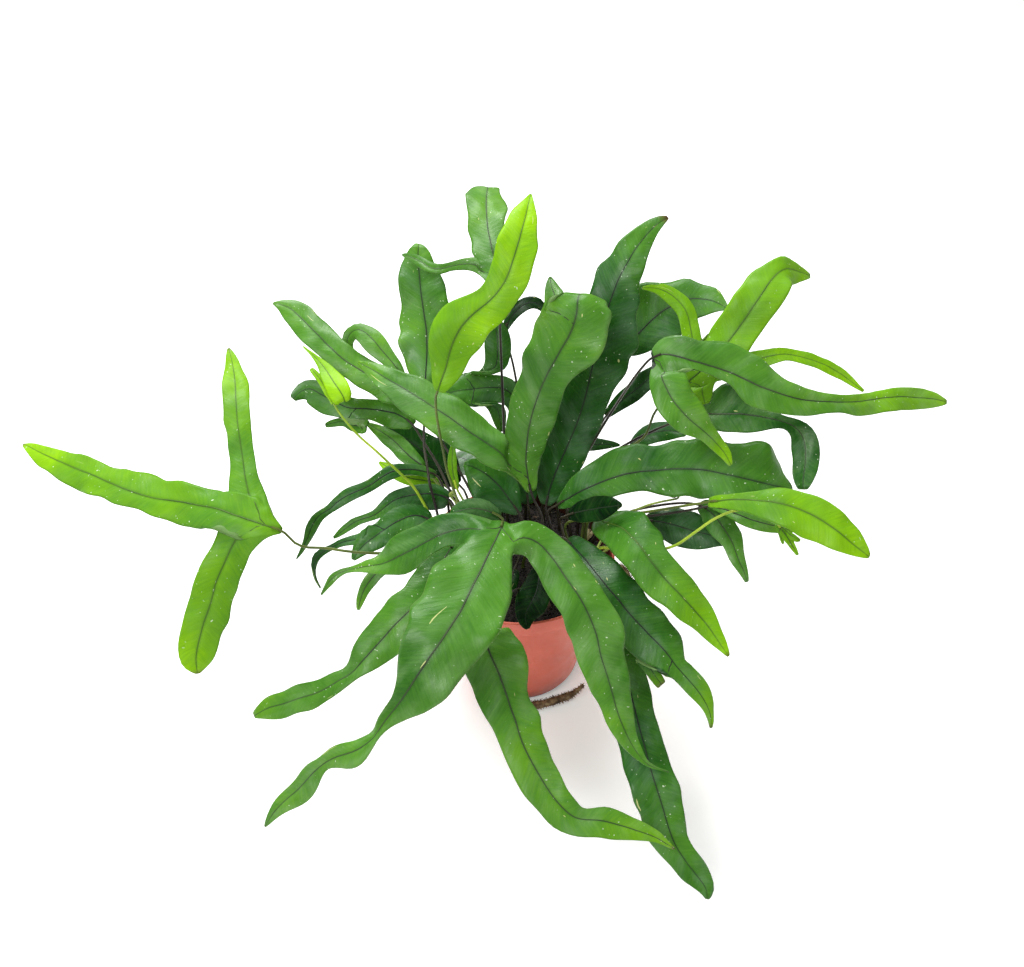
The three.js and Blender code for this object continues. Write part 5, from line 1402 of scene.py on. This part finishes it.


# %% The leaf finishes
# tone runs from near black to yellow green; its dark end, used by the leaves deep in the crown, is
# painted shade
GREENS = [
    (0.0, (0.001, 0.010, 0.002)), (0.25, (0.013, 0.082, 0.006)), (0.5, (0.066, 0.205, 0.016)),
    (0.75, (0.145, 0.345, 0.006)), (1.0, (0.300, 0.580, 0.002)),
]
VEIN_GREEN, RIM_GREEN = (0.20, 0.34, 0.08), (0.20, 0.26, 0.08)
DEEP_GREEN, MIDRIB_GREEN = (0.006, 0.030, 0.006), (0.020, 0.030, 0.016)
UNDER_GREEN, UNDER_PALE = (0.10, 0.20, 0.05), (0.17, 0.28, 0.09)
# painted sheen: the colours of the pale patches, partly the wax's own coat and partly painted
# highlight
WARM_BLOOM_AND_SHEEN, COOL_BLOOM_AND_SHEEN = (0.24, 0.38, 0.17), (0.19, 0.29, 0.20)
SPECK, SCRATCH = (0.60, 0.70, 0.50), (0.62, 0.62, 0.26)
DRY_DARK, DRY_PALE = (0.035, 0.016, 0.008), (0.16, 0.08, 0.03)
PLAIN_ROUGHNESS = 0.38           # away from the patches of wax


def wax_and_sheen_patches(s):
    """Where the wax lies thick and painted sheen is laid: patches as long as a thumb is wide."""
    return s.spread(s.noise(1.0, 4.0, s.on_leaf(0.55, 0.9, 26)), 0.45, 0.70)


def leaf_green(s, patches, wax_and_sheen_share, bloom_and_sheen):
    """The green of the upper face, with its veins, its rim, and pale patches of wax with painted
    sheen.
    """
    shift = s.spread(s.noise(22, 5.0), 0.32, 0.68, -0.13, 0.13)
    streak = s.spread(s.noise(1.0, 2.0, s.on_leaf(7.0, 1.2, 30)), 0.3, 0.7, -0.035, 0.035)
    tone = s.math("ADD", s.math("ADD", s.value("tone"), shift), streak)
    green = s.ramp(tone, GREENS)
    # side veins: a thin paler line each time the vein number passes a whole one
    fold = s.math("PINGPONG", s.value("vein"), 0.5)
    line = s.spread(fold, 0.0, 0.09, 1, 0)
    green = s.blend(s.math("MULTIPLY", line, 0.04), green, VEIN_GREEN)
    # the blade darkens along the midrib, and most of all in a thin line
    off = s.math("ABSOLUTE", s.value("across"))
    green = s.blend(s.spread(off, 0.0, 0.14, 0.35, 0.0), green, DEEP_GREEN)
    green = s.blend(s.spread(off, 0.02, 0.05, 0.45, 0.0), green, MIDRIB_GREEN)
    fibres = s.spread(s.noise(1.0, 3.0, s.on_leaf(9.0, 1.6, 60)), 0.3, 0.7, 0.55, 1.0)
    # painted sheen: the pale patch colour, with fibres in it, is laid into the patches of wax
    green = s.blend(s.math("MULTIPLY", s.math("MULTIPLY", patches, fibres), wax_and_sheen_share), green, bloom_and_sheen)
    rim = s.spread(s.value("rim"), 0.85, 1.0)
    return s.blend(s.math("MULTIPLY", rim, 0.35), green, RIM_GREEN)


def leaf_marks(s, green):
    """Pale specks the size of a pinhead, and a few short straw-coloured scratches."""
    sparse = s.spread(s.noise(45, 2.0), 0.46, 0.58)
    specks = s.math("MULTIPLY", s.spread(s.noise(620, 1.0), 0.735, 0.755), sparse)
    green = s.blend(s.math("MULTIPLY", specks, 0.75), green, SPECK)
    scratch = s.spread(s.noise(1.0, 0.0, s.on_leaf(0.9, 9.0, 90)), 0.86, 0.87)
    return s.blend(s.math("MULTIPLY", scratch, 0.7), green, SCRATCH)


def leaf_finish(name, roughness, gloss, wax_and_sheen_share, bloom_and_sheen=WARM_BLOOM_AND_SHEEN):
    """`roughness` is that of the wax. The last two are the share and the colour of the pale
    patches: the wax's own pale coat, with painted sheen.
    """
    s = Shader(name)
    patches = wax_and_sheen_patches(s)
    green = leaf_marks(s, leaf_green(s, patches, wax_and_sheen_share, bloom_and_sheen))
    under = s.blend(s.math("MULTIPLY", s.noise(60), 0.5), UNDER_GREEN, UNDER_PALE)
    colour = s.blend(s.value("upper"), under, green)
    colour = s.blend(s.value("dry"), colour, s.blend(s.noise(250), DRY_DARK, DRY_PALE))
    s.put(s.main.inputs["Base Color"], colour)
    uneven = s.spread(s.noise(120), 0.3, 0.7, -0.05, 0.07)
    rough = s.math("ADD", s.spread(patches, 0, 1, PLAIN_ROUGHNESS, roughness), uneven)
    s.put(s.main.inputs["Roughness"], rough)
    s.main.inputs["Specular IOR Level"].default_value = gloss
    grain = s.bump(s.noise(700, 2.0), 0.0002, 0.35)
    fibres = s.bump(s.noise(1.0, 3.0, s.on_leaf(5.0, 1.6, 60)), 0.0006, 0.30, grain)
    s.put(s.main.inputs["Normal"], fibres)
    return s.material


LEAVES = {
    "deep": leaf_finish("leaf_deep", roughness=0.34, gloss=0.05, wax_and_sheen_share=0.03),
    "dark": leaf_finish("leaf_dark", roughness=0.25, gloss=0.16, wax_and_sheen_share=0.28, bloom_and_sheen=COOL_BLOOM_AND_SHEEN),
    "mid": leaf_finish("leaf_mid", roughness=0.24, gloss=0.17, wax_and_sheen_share=0.32),
    "bright": leaf_finish("leaf_bright", roughness=0.27, gloss=0.09, wax_and_sheen_share=0.10),
}
STIPE_GLOSS, RIB_GLOSS = 0.3, 0.15


def stipe_finish(name, dark, pale, gloss=STIPE_GLOSS):
    s = Shader(name)
    colour = s.blend(s.spread(s.noise(40, 3.0), 0.35, 0.65), dark, pale)
    s.put(s.main.inputs["Base Color"], colour)
    s.main.inputs["Roughness"].default_value = 0.4
    s.main.inputs["Specular IOR Level"].default_value = gloss
    s.put(s.main.inputs["Normal"], s.bump(s.noise(900, 2.0), 0.0002, 0.4))
    return s.material


# Old stipes are black brown, younger ones olive, and the youngest are the green of a lime.
STIPES = {
    "old": stipe_finish("stipe_old", (0.014, 0.009, 0.009), (0.040, 0.036, 0.018)),
    "olive": stipe_finish("stipe_olive", (0.040, 0.060, 0.010), (0.130, 0.180, 0.026)),
    "lime": stipe_finish("stipe_lime", (0.200, 0.330, 0.012), (0.480, 0.600, 0.050)),
}
# The midribs are thin lines, nearly black on old blades and dark green on young ones.
RIBS = {
    "dark": stipe_finish("rib_dark", (0.010, 0.014, 0.012), (0.022, 0.032, 0.018), RIB_GLOSS),
    "mid": stipe_finish("rib_mid", (0.026, 0.034, 0.022), (0.048, 0.070, 0.030), RIB_GLOSS),
    "bright": stipe_finish("rib_bright", (0.040, 0.095, 0.014), (0.080, 0.160, 0.018), RIB_GLOSS),
}
print("leaf finishes:", [m.name for m in bpy.data.materials])


# %% [markdown]
# ## The fronds
#
# Every frond is made by the same steps from its list: the blade, its midribs, and the stipe,
# which stands straight in the soil before it bends away.

# %% The course of a stipe
STEM_DEPTH = 9.0                 # mm of a stipe that stand in the soil
SOIL_TOP, SOIL_CROWN = 93.0, 5.0      # the soil's edge, and how much higher its middle is
RIM_RADIUS, POT_HEIGHT, BASE_RADIUS, WALL = 60.0, 105.0, 39.5, 1.8


def soil_height(x, y):
    """Height of the soil's smooth heap in mm."""
    share = np.minimum(np.hypot(x, y) / (RIM_RADIUS - WALL), 1)
    return SOIL_TOP + SOIL_CROWN * np.cos(math.pi / 2 * share)


def stem_course(frond, gap=4.0):
    """Points of a stipe from the soil up, and a little way into the blade if it has one."""
    x, y = frond["foot"]
    top = soil_height(x, y)
    knots = [(x, y, top + 1), (x, y, top + 5), *(sight(*row) for row in frond["stem"])]
    if "line" in frond:
        total, read = smooth_line(frond["line"])
        knots += list(read(np.array([0, min(6, total / 3)]))["place"])
    return np.concatenate([[(x, y, top - STEM_DEPTH)], even_points(knots, gap)])


def tapered(points, first, last):
    """Radii that go evenly from the first to the last along the points."""
    share = lengths_of(points) / lengths_of(points)[-1]
    return first + (last - first) * share


# %% Every frond in turn
STIPE_RADIUS, STIPE_TAPER, STIPE_SIDES = 1.25 * 0.85, 0.35, 8
RIB_RADIUS, SIDE_RIB_RADIUS, RIB_END, RIB_SIDES = 0.55, 0.40, 0.28, 6
DEEP_SHADE = 0.16                # leaves darker than this stand deep in the plant

for frond in FRONDS:
    piece, courses = blade_object(frond)
    shade = "deep" if max(frond["tone"]) < DEEP_SHADE else frond["leaf"]
    piece.data.materials.append(LEAVES[shade])
    stem = stem_course(frond)
    radii = tapered(stem, STIPE_RADIUS, STIPE_RADIUS * (1 - STIPE_TAPER))
    add_tubes(piece, [(stem, radii)], STIPES[frond.get("stipe", "old")], STIPE_SIDES)
    starts = [RIB_RADIUS] + [SIDE_RIB_RADIUS] * (len(courses) - 1)
    ribs = [(course, tapered(course, start, RIB_END)) for course, start in zip(courses, starts)]
    add_tubes(piece, ribs, RIBS[frond["leaf"]], RIB_SIDES)
    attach(piece, "root")
    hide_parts(frond["name"])
leaves = [made for made in scene.objects if made.name.startswith("leaf_")]
print("leaves:", len(leaves), "faces:", sum(len(leaf.data.polygons) for leaf in leaves))

# %% [markdown]
# ## The pot
#
# It is a thin-walled nursery pot of satin plastic: a cone with a slightly thicker band under
# the rim, a rounded foot and drainage holes in its floor. A turned outline is the natural way
# to make it, and it can have the round lip and foot in itself. The holes are cut with a
# Boolean.

# %% Turn the pot
POT_SIDES = 128
FLOOR_THICK, BAND_HEIGHT, BAND_STEP, FOOT_ROUND, LIP_ROUND = 2.4, 14.0, 0.9, 5.0, 1.0
DRAIN_HOLES, DRAIN_RADIUS, DRAIN_CIRCLE = 6, 4.0, 26.0
BAND_FOOT = POT_HEIGHT - BAND_HEIGHT
INNER_FOOT = FLOOR_THICK + 3     # the inner wall starts here, above a sloping corner


def pot_radius(z):
    """The outer radius of the pot's wall, without its band, at a height."""
    return BASE_RADIUS + (RIM_RADIUS - BAND_STEP - BASE_RADIUS) * z / POT_HEIGHT


def circle(radius, sides):
    """Places (x, y) evenly round a circle."""
    turns = [2 * math.pi * k / sides for k in range(sides)]
    return [(radius * math.cos(turn), radius * math.sin(turn)) for turn in turns]


def turned_faces(rings, sides):
    """Faces round Z: a fan from point 0, a band between each two rings, and a last fan."""
    faces = []
    last, tip = 1 + (rings - 1) * sides, 1 + rings * sides
    for k in range(sides):
        n = (k + 1) % sides
        faces.append((0, 1 + n, 1 + k))
        for low in range(1, last, sides):
            faces.append((low + k, low + n, low + sides + n, low + sides + k))
        faces.append((last + k, last + n, tip))
    return faces


def turned(name, outline, sides):
    """A closed solid turned round Z from an outline that starts and ends on the axis."""
    places = [(0, 0, outline[0][1])]
    for radius, z in outline[1:-1]:
        places += [(x, y, z) for x, y in circle(radius, sides)]
    places.append((0, 0, outline[-1][1]))
    return new_object(name, places, turned_faces(len(outline) - 2, sides))


arc = [(BASE_RADIUS - FOOT_ROUND * (1 - math.sin(a)), FOOT_ROUND * (1 - math.cos(a)))
       for a in np.linspace(0, math.pi / 2.3, 7)]
lip = [(RIM_RADIUS - LIP_ROUND + LIP_ROUND * math.cos(a),
        POT_HEIGHT - LIP_ROUND + LIP_ROUND * math.sin(a)) for a in np.linspace(0, math.pi, 9)]
band_radius = pot_radius(BAND_FOOT)
pot = turned("pot_shell", [
    (0, 0), *arc, (pot_radius(FOOT_ROUND + 1), FOOT_ROUND + 1),
    (pot_radius(BAND_FOOT - 1.5), BAND_FOOT - 1.5),
    (band_radius + BAND_STEP * 0.8, BAND_FOOT - 0.3), (band_radius + BAND_STEP, BAND_FOOT + 0.3),
    *lip, (band_radius - WALL + 0.2, BAND_FOOT), (pot_radius(INNER_FOOT) - WALL, INNER_FOOT),
    (pot_radius(0) - WALL - 4, FLOOR_THICK), (0, FLOOR_THICK)], POT_SIDES)

# %% Cut its drainage holes
cutter_mesh = bmesh.new()
for k in range(DRAIN_HOLES):
    turn = 2 * math.pi * (k + 0.5) / DRAIN_HOLES
    rod = bmesh.ops.create_cone(cutter_mesh, cap_ends=True, segments=20, depth=20 * MM,
                                radius1=DRAIN_RADIUS * MM, radius2=DRAIN_RADIUS * MM)
    shift = Vector((DRAIN_CIRCLE * math.cos(turn), DRAIN_CIRCLE * math.sin(turn), 0)) * MM
    bmesh.ops.translate(cutter_mesh, verts=rod["verts"], vec=shift)
cutter = new_object("hole_cutter", np.zeros((0, 3)), [])
cutter_mesh.to_mesh(cutter.data)
cutter_mesh.free()
cut = pot.modifiers.new("holes", "BOOLEAN")
cut.object = cutter
bake(pot)
bpy.data.objects.remove(cutter)
print("pot faces:", len(pot.data.polygons))


# %% [markdown]
# ### Its satin plastic
#
# The plastic is a warm pink brown with a little dust on it and a fine moulding grain. Its inner
# face is painted near black: painted shade inside the pot. Noises of several sizes give the
# plastic's changing tint, the dust and the grain. What lies inside is read from a place's distance
# to the axis.

# %% The pot's finish
PLASTIC_DARK, PLASTIC_PALE = (0.55, 0.092, 0.052), (0.63, 0.120, 0.072)
# the second colour is painted shade for the pot's inner face
DUST, INNER_SHADE = (0.42, 0.22, 0.16), (0.020, 0.008, 0.006)


def pot_finish():
    s = Shader("pot_plastic")
    colour = s.blend(s.spread(s.noise(30), 0.3, 0.7), PLASTIC_DARK, PLASTIC_PALE)
    dust = s.spread(s.noise(220, 6.0), 0.62, 0.80, 0.0, 0.20)
    colour = s.blend(dust, colour, DUST)
    # painted shade: the inner face is darkened up to the lip
    place = s.node("SeparateXYZ", {"Vector": s.place()})
    flat = s.node("CombineXYZ", {"X": place.outputs["X"], "Y": place.outputs["Y"]})
    reach = s.node("VectorMath", {0: flat}, operation="LENGTH").outputs["Value"]
    slope = (RIM_RADIUS - BAND_STEP - BASE_RADIUS) / POT_HEIGHT
    wall = s.math("MULTIPLY_ADD", place.outputs["Z"], slope, (BASE_RADIUS - WALL / 2) * MM)
    inside = s.spread(s.math("SUBTRACT", wall, reach), -0.0002, 0.0002)
    colour = s.blend(s.math("MULTIPLY", inside, 0.9), colour, INNER_SHADE)
    s.put(s.main.inputs["Base Color"], colour)
    s.put(s.main.inputs["Roughness"], s.spread(s.noise(90), 0.3, 0.7, 0.38, 0.52))
    s.put(s.main.inputs["Normal"], s.bump(s.noise(1500, 2.0), 0.0001, 0.3))
    return s.material


pot.data.materials.append(pot_finish())
pot.data.shade_smooth()
pot.data.set_sharp_from_angle(angle=math.radians(40))
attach(pot, "root")
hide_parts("pot")

# %% [markdown]
# ## The soil
#
# Potting soil is dark, crumbly peat with pieces of bark. It is made near black here, which is
# partly the peat's own colour and partly painted shade under the leaves. Its surface is a low heap
# with bumps of a few millimetres. A turned plug gives the heap, noise lifts its points, and crumbs
# and chips are then strewn over it.

# %% The heaped plug
SOIL_RINGS, SOIL_SIDES = 60, 150
SOIL_GAP = 0.3                   # mm between the soil and the pot
EDGE_WIDTH = 6                   # mm over which the lumps die away towards the pot


def soil_surface(x, y):
    """Height of the lumpy soil in mm."""
    spot = Vector((x * 0.09, y * 0.09, 3.0))
    fine = Vector((x * 0.35, y * 0.35, 7.0))
    edge = min(1.0, (RIM_RADIUS - math.hypot(x, y)) / EDGE_WIDTH)
    return float(soil_height(x, y)) + edge * (1.5 * noise.noise(spot) + 0.7 * noise.noise(fine))


inner = band_radius - WALL - SOIL_GAP
places = [(0.0, 0.0, soil_surface(0, 0))]
for i in range(1, SOIL_RINGS + 1):
    spots = circle(inner * i / SOIL_RINGS, SOIL_SIDES)
    places += [(x, y, soil_surface(x, y)) for x, y in spots]
low = [(inner - 1.0, 84.0), (pot_radius(INNER_FOOT) - WALL - 0.5, INNER_FOOT + SOIL_GAP)]
for radius, z in low:
    places += [(x, y, z) for x, y in circle(radius, SOIL_SIDES)]
places.append((0.0, 0.0, FLOOR_THICK + SOIL_GAP))
# the plug's points go from its top down, so its faces turn the other way round
faces = [face[:1] + face[:0:-1] for face in turned_faces(SOIL_RINGS + len(low), SOIL_SIDES)]
soil = new_object("soil_heap", places, faces)


# %% The finishes of the soil and of the bark
def soil_finish():
    s = Shader("soil")
    crumb = s.spread(s.noise(420, 6.0), 0.3, 0.7)
    # painted shade: the peat is made near black, partly its own colour and partly the shade under
    # the leaves
    colour = s.blend(crumb, (0.003, 0.002, 0.002), (0.016, 0.010, 0.007))
    grit = s.spread(s.noise(900, 1.0), 0.70, 0.74)
    colour = s.blend(grit, colour, (0.10, 0.07, 0.05))
    s.put(s.main.inputs["Base Color"], colour)
    s.main.inputs["Roughness"].default_value = 0.95
    s.put(s.main.inputs["Normal"], s.bump(s.noise(500, 8.0), 0.0012, 0.9))
    return s.material


def bark_finish():
    s = Shader("bark_chips")
    colour = s.ramp(s.noise(160, 5.0), [
        (0.3, (0.006, 0.004, 0.003)), (0.52, (0.030, 0.016, 0.010)), (0.72, (0.15, 0.085, 0.048))])
    s.put(s.main.inputs["Base Color"], colour)
    s.main.inputs["Roughness"].default_value = 0.9
    s.put(s.main.inputs["Normal"], s.bump(s.noise(800, 6.0), 0.0006, 0.8))
    return s.material


soil.data.materials.append(soil_finish())
soil.data.shade_smooth()
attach(soil, "root")
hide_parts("soil")

# %% [markdown]
# ### Crumbs, chips and fur
#
# Three things here repeat over a surface: crumbs on the soil, bark chips among them, and the
# hairs on the creeping rhizomes. One tree of Geometry Nodes strews them all. Its inputs say
# what is strewn, how many per square metre, how large, how far each leans from the surface,
# and the seed, so that the same picture comes out each time.

# %% The tree that strews pieces over a surface
STREW_SOCKETS = {
    "piece": ("Piece", "NodeSocketObject", None),
    "density": ("Density", "NodeSocketFloat", 1000.0),
    "smallest": ("Smallest", "NodeSocketFloat", 0.5),
    "largest": ("Largest", "NodeSocketFloat", 1.5),
    "lean": ("Lean", "NodeSocketFloat", 0.4),
    "lowest": ("Lowest", "NodeSocketFloat", -1.0),
    "seed": ("Seed", "NodeSocketInt", 1),
    "finish": ("Finish", "NodeSocketMaterial", None),
}
RANDOM_MIN, RANDOM_MAX, RANDOM_FLOAT = 2, 3, 1      # a Random Value node's sockets for floats


def random_sizes(tree, given):
    """A node that draws each copy's size."""
    size = tree.nodes.new("FunctionNodeRandomValue")
    wire(tree, (given, "Smallest", size, RANDOM_MIN), (given, "Largest", size, RANDOM_MAX),
         (given, "Seed", size, "Seed"))
    return size


def random_turns(tree, given):
    """A node that draws each copy's lean, either way, and any turn about its own axis."""
    turns = tree.nodes.new("FunctionNodeRandomValue")
    turns.data_type = "FLOAT_VECTOR"
    minus, least, most = (tree.nodes.new("ShaderNode" + kind)
                          for kind in ("Math", "CombineXYZ", "CombineXYZ"))
    minus.operation = "MULTIPLY"
    minus.inputs[1].default_value = -1
    most.inputs["Z"].default_value = 2 * math.pi
    wire(tree, (given, "Lean", minus, 0), (minus, 0, least, "X"), (minus, 0, least, "Y"),
         (given, "Lean", most, "X"), (given, "Lean", most, "Y"),
         (least, 0, turns, "Min"), (most, 0, turns, "Max"), (given, "Seed", turns, "Seed"))
    return turns


def strew_tree():
    """Copies of a piece on the surface's faces, where they lie above the lowest height."""
    tree, given, result = new_tree("strewn_pieces")
    names = {key: socket_in(tree, *socket) for key, socket in STREW_SOCKETS.items()}
    spread, copies, real, piece, finish, where = (
        tree.nodes.new("GeometryNode" + kind) for kind in
        ("DistributePointsOnFaces", "InstanceOnPoints", "RealizeInstances", "ObjectInfo",
         "SetMaterial", "InputPosition"))
    size, lean = random_sizes(tree, given), random_turns(tree, given)
    turn = tree.nodes.new("FunctionNodeRotateRotation")
    turn.rotation_space = "LOCAL"
    cut, above = tree.nodes.new("ShaderNodeSeparateXYZ"), tree.nodes.new("FunctionNodeCompare")
    above.operation = "GREATER_THAN"
    wire(tree,
         (given, "Geometry", spread, "Mesh"), (given, "Density", spread, "Density"),
         (given, "Seed", spread, "Seed"), (where, "Position", cut, "Vector"),
         (cut, "Z", above, 0), (given, "Lowest", above, 1),
         (above, "Result", spread, "Selection"), (given, "Piece", piece, "Object"),
         (spread, "Points", copies, "Points"), (piece, "Geometry", copies, "Instance"),
         (spread, "Rotation", turn, "Rotation"), (lean, "Value", turn, "Rotate By"),
         (turn, "Rotation", copies, "Rotation"), (size, RANDOM_FLOAT, copies, "Scale"),
         (copies, "Instances", real, "Geometry"), (real, "Geometry", finish, "Geometry"),
         (given, "Finish", finish, "Material"), (finish, "Geometry", result, "Geometry"))
    return tree, names


STREW, STREW_INPUTS = strew_tree()


# %% Crumbs and chips on the soil
def strewn(name, ground, piece, finish, **inputs):
    """A new object of copies of a small piece, strewn over the ground object's surface."""
    made = bpy.data.objects.new(name, ground.data.copy())
    made.data.materials.clear()
    scene.collection.objects.link(made)
    grow = made.modifiers.new("strew", "NODES")
    grow.node_group = STREW
    for key, value in {"piece": piece, "finish": finish, **inputs}.items():
        grow[STREW_INPUTS[key]] = value
    return bake(made)


def lump(name, size, seed):
    """A rough stone-like lump, about as large as `size` mm."""
    ball = bmesh.new()
    bmesh.ops.create_icosphere(ball, subdivisions=1, radius=1)
    shake = random.Random(seed)
    places = [[c * s / 2 * shake.uniform(0.7, 1.2) for c, s in zip(v.co, size)]
              for v in ball.verts]
    faces = [[v.index for v in face.verts] for face in ball.faces]
    ball.free()
    return new_object(name, places, faces)


SURFACE_ONLY = 0.09              # metres up, which leaves out the plug's sides and bottom
crumb, chip = lump("crumb", (1.8, 1.5, 1.2), seed=3), lump("chip", (6.5, 3.6, 1.8), seed=5)
crumbs = strewn("soil_crumbs", soil, crumb, soil.data.materials[0], density=420000.0,
                smallest=0.5, largest=1.5, lean=3.0, lowest=SURFACE_ONLY, seed=4)
chips = strewn("bark_chips", soil, chip, bark_finish(), density=9000.0,
               smallest=0.5, largest=1.3, lean=0.5, lowest=SURFACE_ONLY, seed=8)
for strewing in (crumbs, chips):
    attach(strewing, "root")
    print(strewing.name, "faces:", len(strewing.data.polygons))

# %% [markdown]
# ## The rhizomes
#
# The fern creeps by thick runners covered in golden brown scales like fur. One hangs over the
# front of the rim and lies round the foot of the pot, the other hangs over its right side.
# The runner is a tube with a knobbly radius. The fur is strewn over it, each hair a slim
# three-sided cone that leans with the rest.

# %% The runners and their fur
RHIZOMES = [
    dict(name="rhizome_front", foot=[-14, -42], thick=3, course=[
        [-16, -47, 103], [-20, -54, 110.5], [-23.5, -60, 109.5], [-25, -61, 100],
        [-25.5, -57, 84], [-25, -53.5, 68], [-24, -48, 45], [-22, -43.5, 22], [-16, -44, 8],
        [-6, -45.5, 5], [5, -46, 4], [16, -44.5, 4.2], [27, -41, 5], [36, -38, 7],
        [43, -34, 11],
    ]),
    dict(name="rhizome_right", foot=[34, -26], thick=3, course=[
        [44, -23, 104], [53.5, -21.5, 111.5], [62.5, -20, 109.5], [67, -20, 100], [68, -21, 91],
        [66.5, -24, 83],
    ]),
]


def fur_finish():
    s = Shader("rhizome_fur")
    colour = s.ramp(s.noise(260, 4.0), [
        (0.3, (0.035, 0.020, 0.010)), (0.5, (0.14, 0.085, 0.040)), (0.72, (0.36, 0.26, 0.14))])
    s.put(s.main.inputs["Base Color"], colour)
    s.main.inputs["Roughness"].default_value = 0.85
    return s.material


FLESH_SHARE = 0.86               # of the runner's thickness, and the rest is fur
RUNNER_SIDES = 14
HAIR_REACH = 0.003               # metres: lower hairs would reach under the table


def runner_radii(count, thick):
    """Radii in mm that swell and shrink in knobs, and run out at the runner's tip."""
    step = np.arange(count)
    knobs = 1 + 0.07 * np.sin(1.1 * step) + 0.04 * np.sin(2.9 * step)
    left = np.linspace(count / 8, 0, count)
    return thick * np.minimum(1, 0.4 + 0.6 * left) * knobs * FLESH_SHARE


fur = fur_finish()
hair = new_object("hair", [(-0.16, -0.1, 0), (0.16, -0.1, 0), (0, 0.18, 0), (0.1, 0.55, 1.5)],
                  [(2, 1, 0), (0, 1, 3), (1, 2, 3), (2, 0, 3)])
for runner in RHIZOMES:
    x, y = runner["foot"]
    top = float(soil_height(x, y))
    course = even_points([(x, y, top + 2), *runner["course"]], 2.0)
    course = np.concatenate([[(x, y, top - STEM_DEPTH)], course])
    radii = runner_radii(len(course), runner["thick"])
    piece = tube_piece(runner["name"] + "_runner", [(course, radii)], fur, RUNNER_SIDES)
    coat = strewn(runner["name"] + "_fur", piece, hair, fur, density=1100000.0, smallest=0.7,
                  largest=1.5, lean=0.55, lowest=HAIR_REACH, seed=11)
    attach(piece, "root")
    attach(coat, "root")
    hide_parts(runner["name"])
    print(piece.name, "hairs:", len(coat.data.polygons) // 4)

# %% [markdown]
# ## Croziers and dried stubs
#
# Young fronds come up as croziers, thin pale green stems rolled up at the tip. Old stipes dry
# to pale straw. Both are tubes along a path again. The crozier's path ends in a flat spiral.

# %% Croziers
CROZIERS = [
    dict(name="crozier_right_upper", foot=[40, -20], thick=0.9, curl=3.6,
         stem=[[612, 524, 122], [643, 507, 140], [660, 502, 148], [676, 499, 154]]),
    dict(name="crozier_right_lower", foot=[47, -3], thick=0.9, curl=2.8,
         stem=[[630, 536, 118], [653, 529, 124], [680, 526, 130], [700, 521, 136],
               [713, 517, 141]]),
    dict(name="crozier_left", foot=[-10, -10], thick=0.8, curl=2.2,
         stem=[[470, 520, 124], [458, 505, 138], [450, 496, 146]]),
]
TURNS = 1.35                     # of the rolled tip
CROZIER_SIDES, STUB_SIDES, STUB_RADIUS = 10, 9, 1.25


def rolled_tip(course, curl):
    """Points of a flat spiral that goes on from the end of the course."""
    end = course[-1]
    along = unit(end - course[-2])
    side = unit(UP - along * along[2])
    share = np.linspace(0, 1, 40)[1:, None]
    reach = curl * (1 - 0.62 * share)
    turn = share * 2 * math.pi * TURNS
    return end + side * (curl - reach * np.cos(turn)) + along * reach * np.sin(turn)


def plain_finish(name, dark, pale, scale):
    s = Shader(name)
    colour = s.blend(s.spread(s.noise(scale, 4.0), 0.3, 0.7), dark, pale)
    s.put(s.main.inputs["Base Color"], colour)
    s.main.inputs["Roughness"].default_value = 0.6
    s.put(s.main.inputs["Normal"], s.bump(s.noise(scale * 6, 3.0), 0.0003, 0.5))
    return s.material


young = plain_finish("crozier", (0.10, 0.17, 0.02), (0.42, 0.52, 0.10), 120)
straw = plain_finish("dried_stem", (0.16, 0.10, 0.04), (0.55, 0.46, 0.26), 200)
for crozier in CROZIERS:
    course = stem_course(crozier, 2.5)
    course = np.concatenate([course, rolled_tip(course, crozier["curl"])])
    radii = tapered(course, crozier["thick"], crozier["thick"] * 0.65)
    piece = tube_piece(crozier["name"] + "_stem", [(course, radii)], young, CROZIER_SIDES)
    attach(piece, "root")
    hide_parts(crozier["name"])

# %% The stubs of old stipes, and the end of the making
stubs = []
for tip in ([589, 529, 112], [597, 527, 110]):
    course = stem_course(dict(foot=[36, 6], stem=[[585, 541, 106], tip]), 2.0)
    wobble = 1 + 0.12 * np.sin(2.3 * np.arange(len(course)))
    stubs.append((course, STUB_RADIUS * wobble))
piece = tube_piece("dried_stubs", stubs, straw, STUB_SIDES)
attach(piece, "root")
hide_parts("dried_stipes")
for tool in (crumb, chip, hair):
    bpy.data.objects.remove(tool)
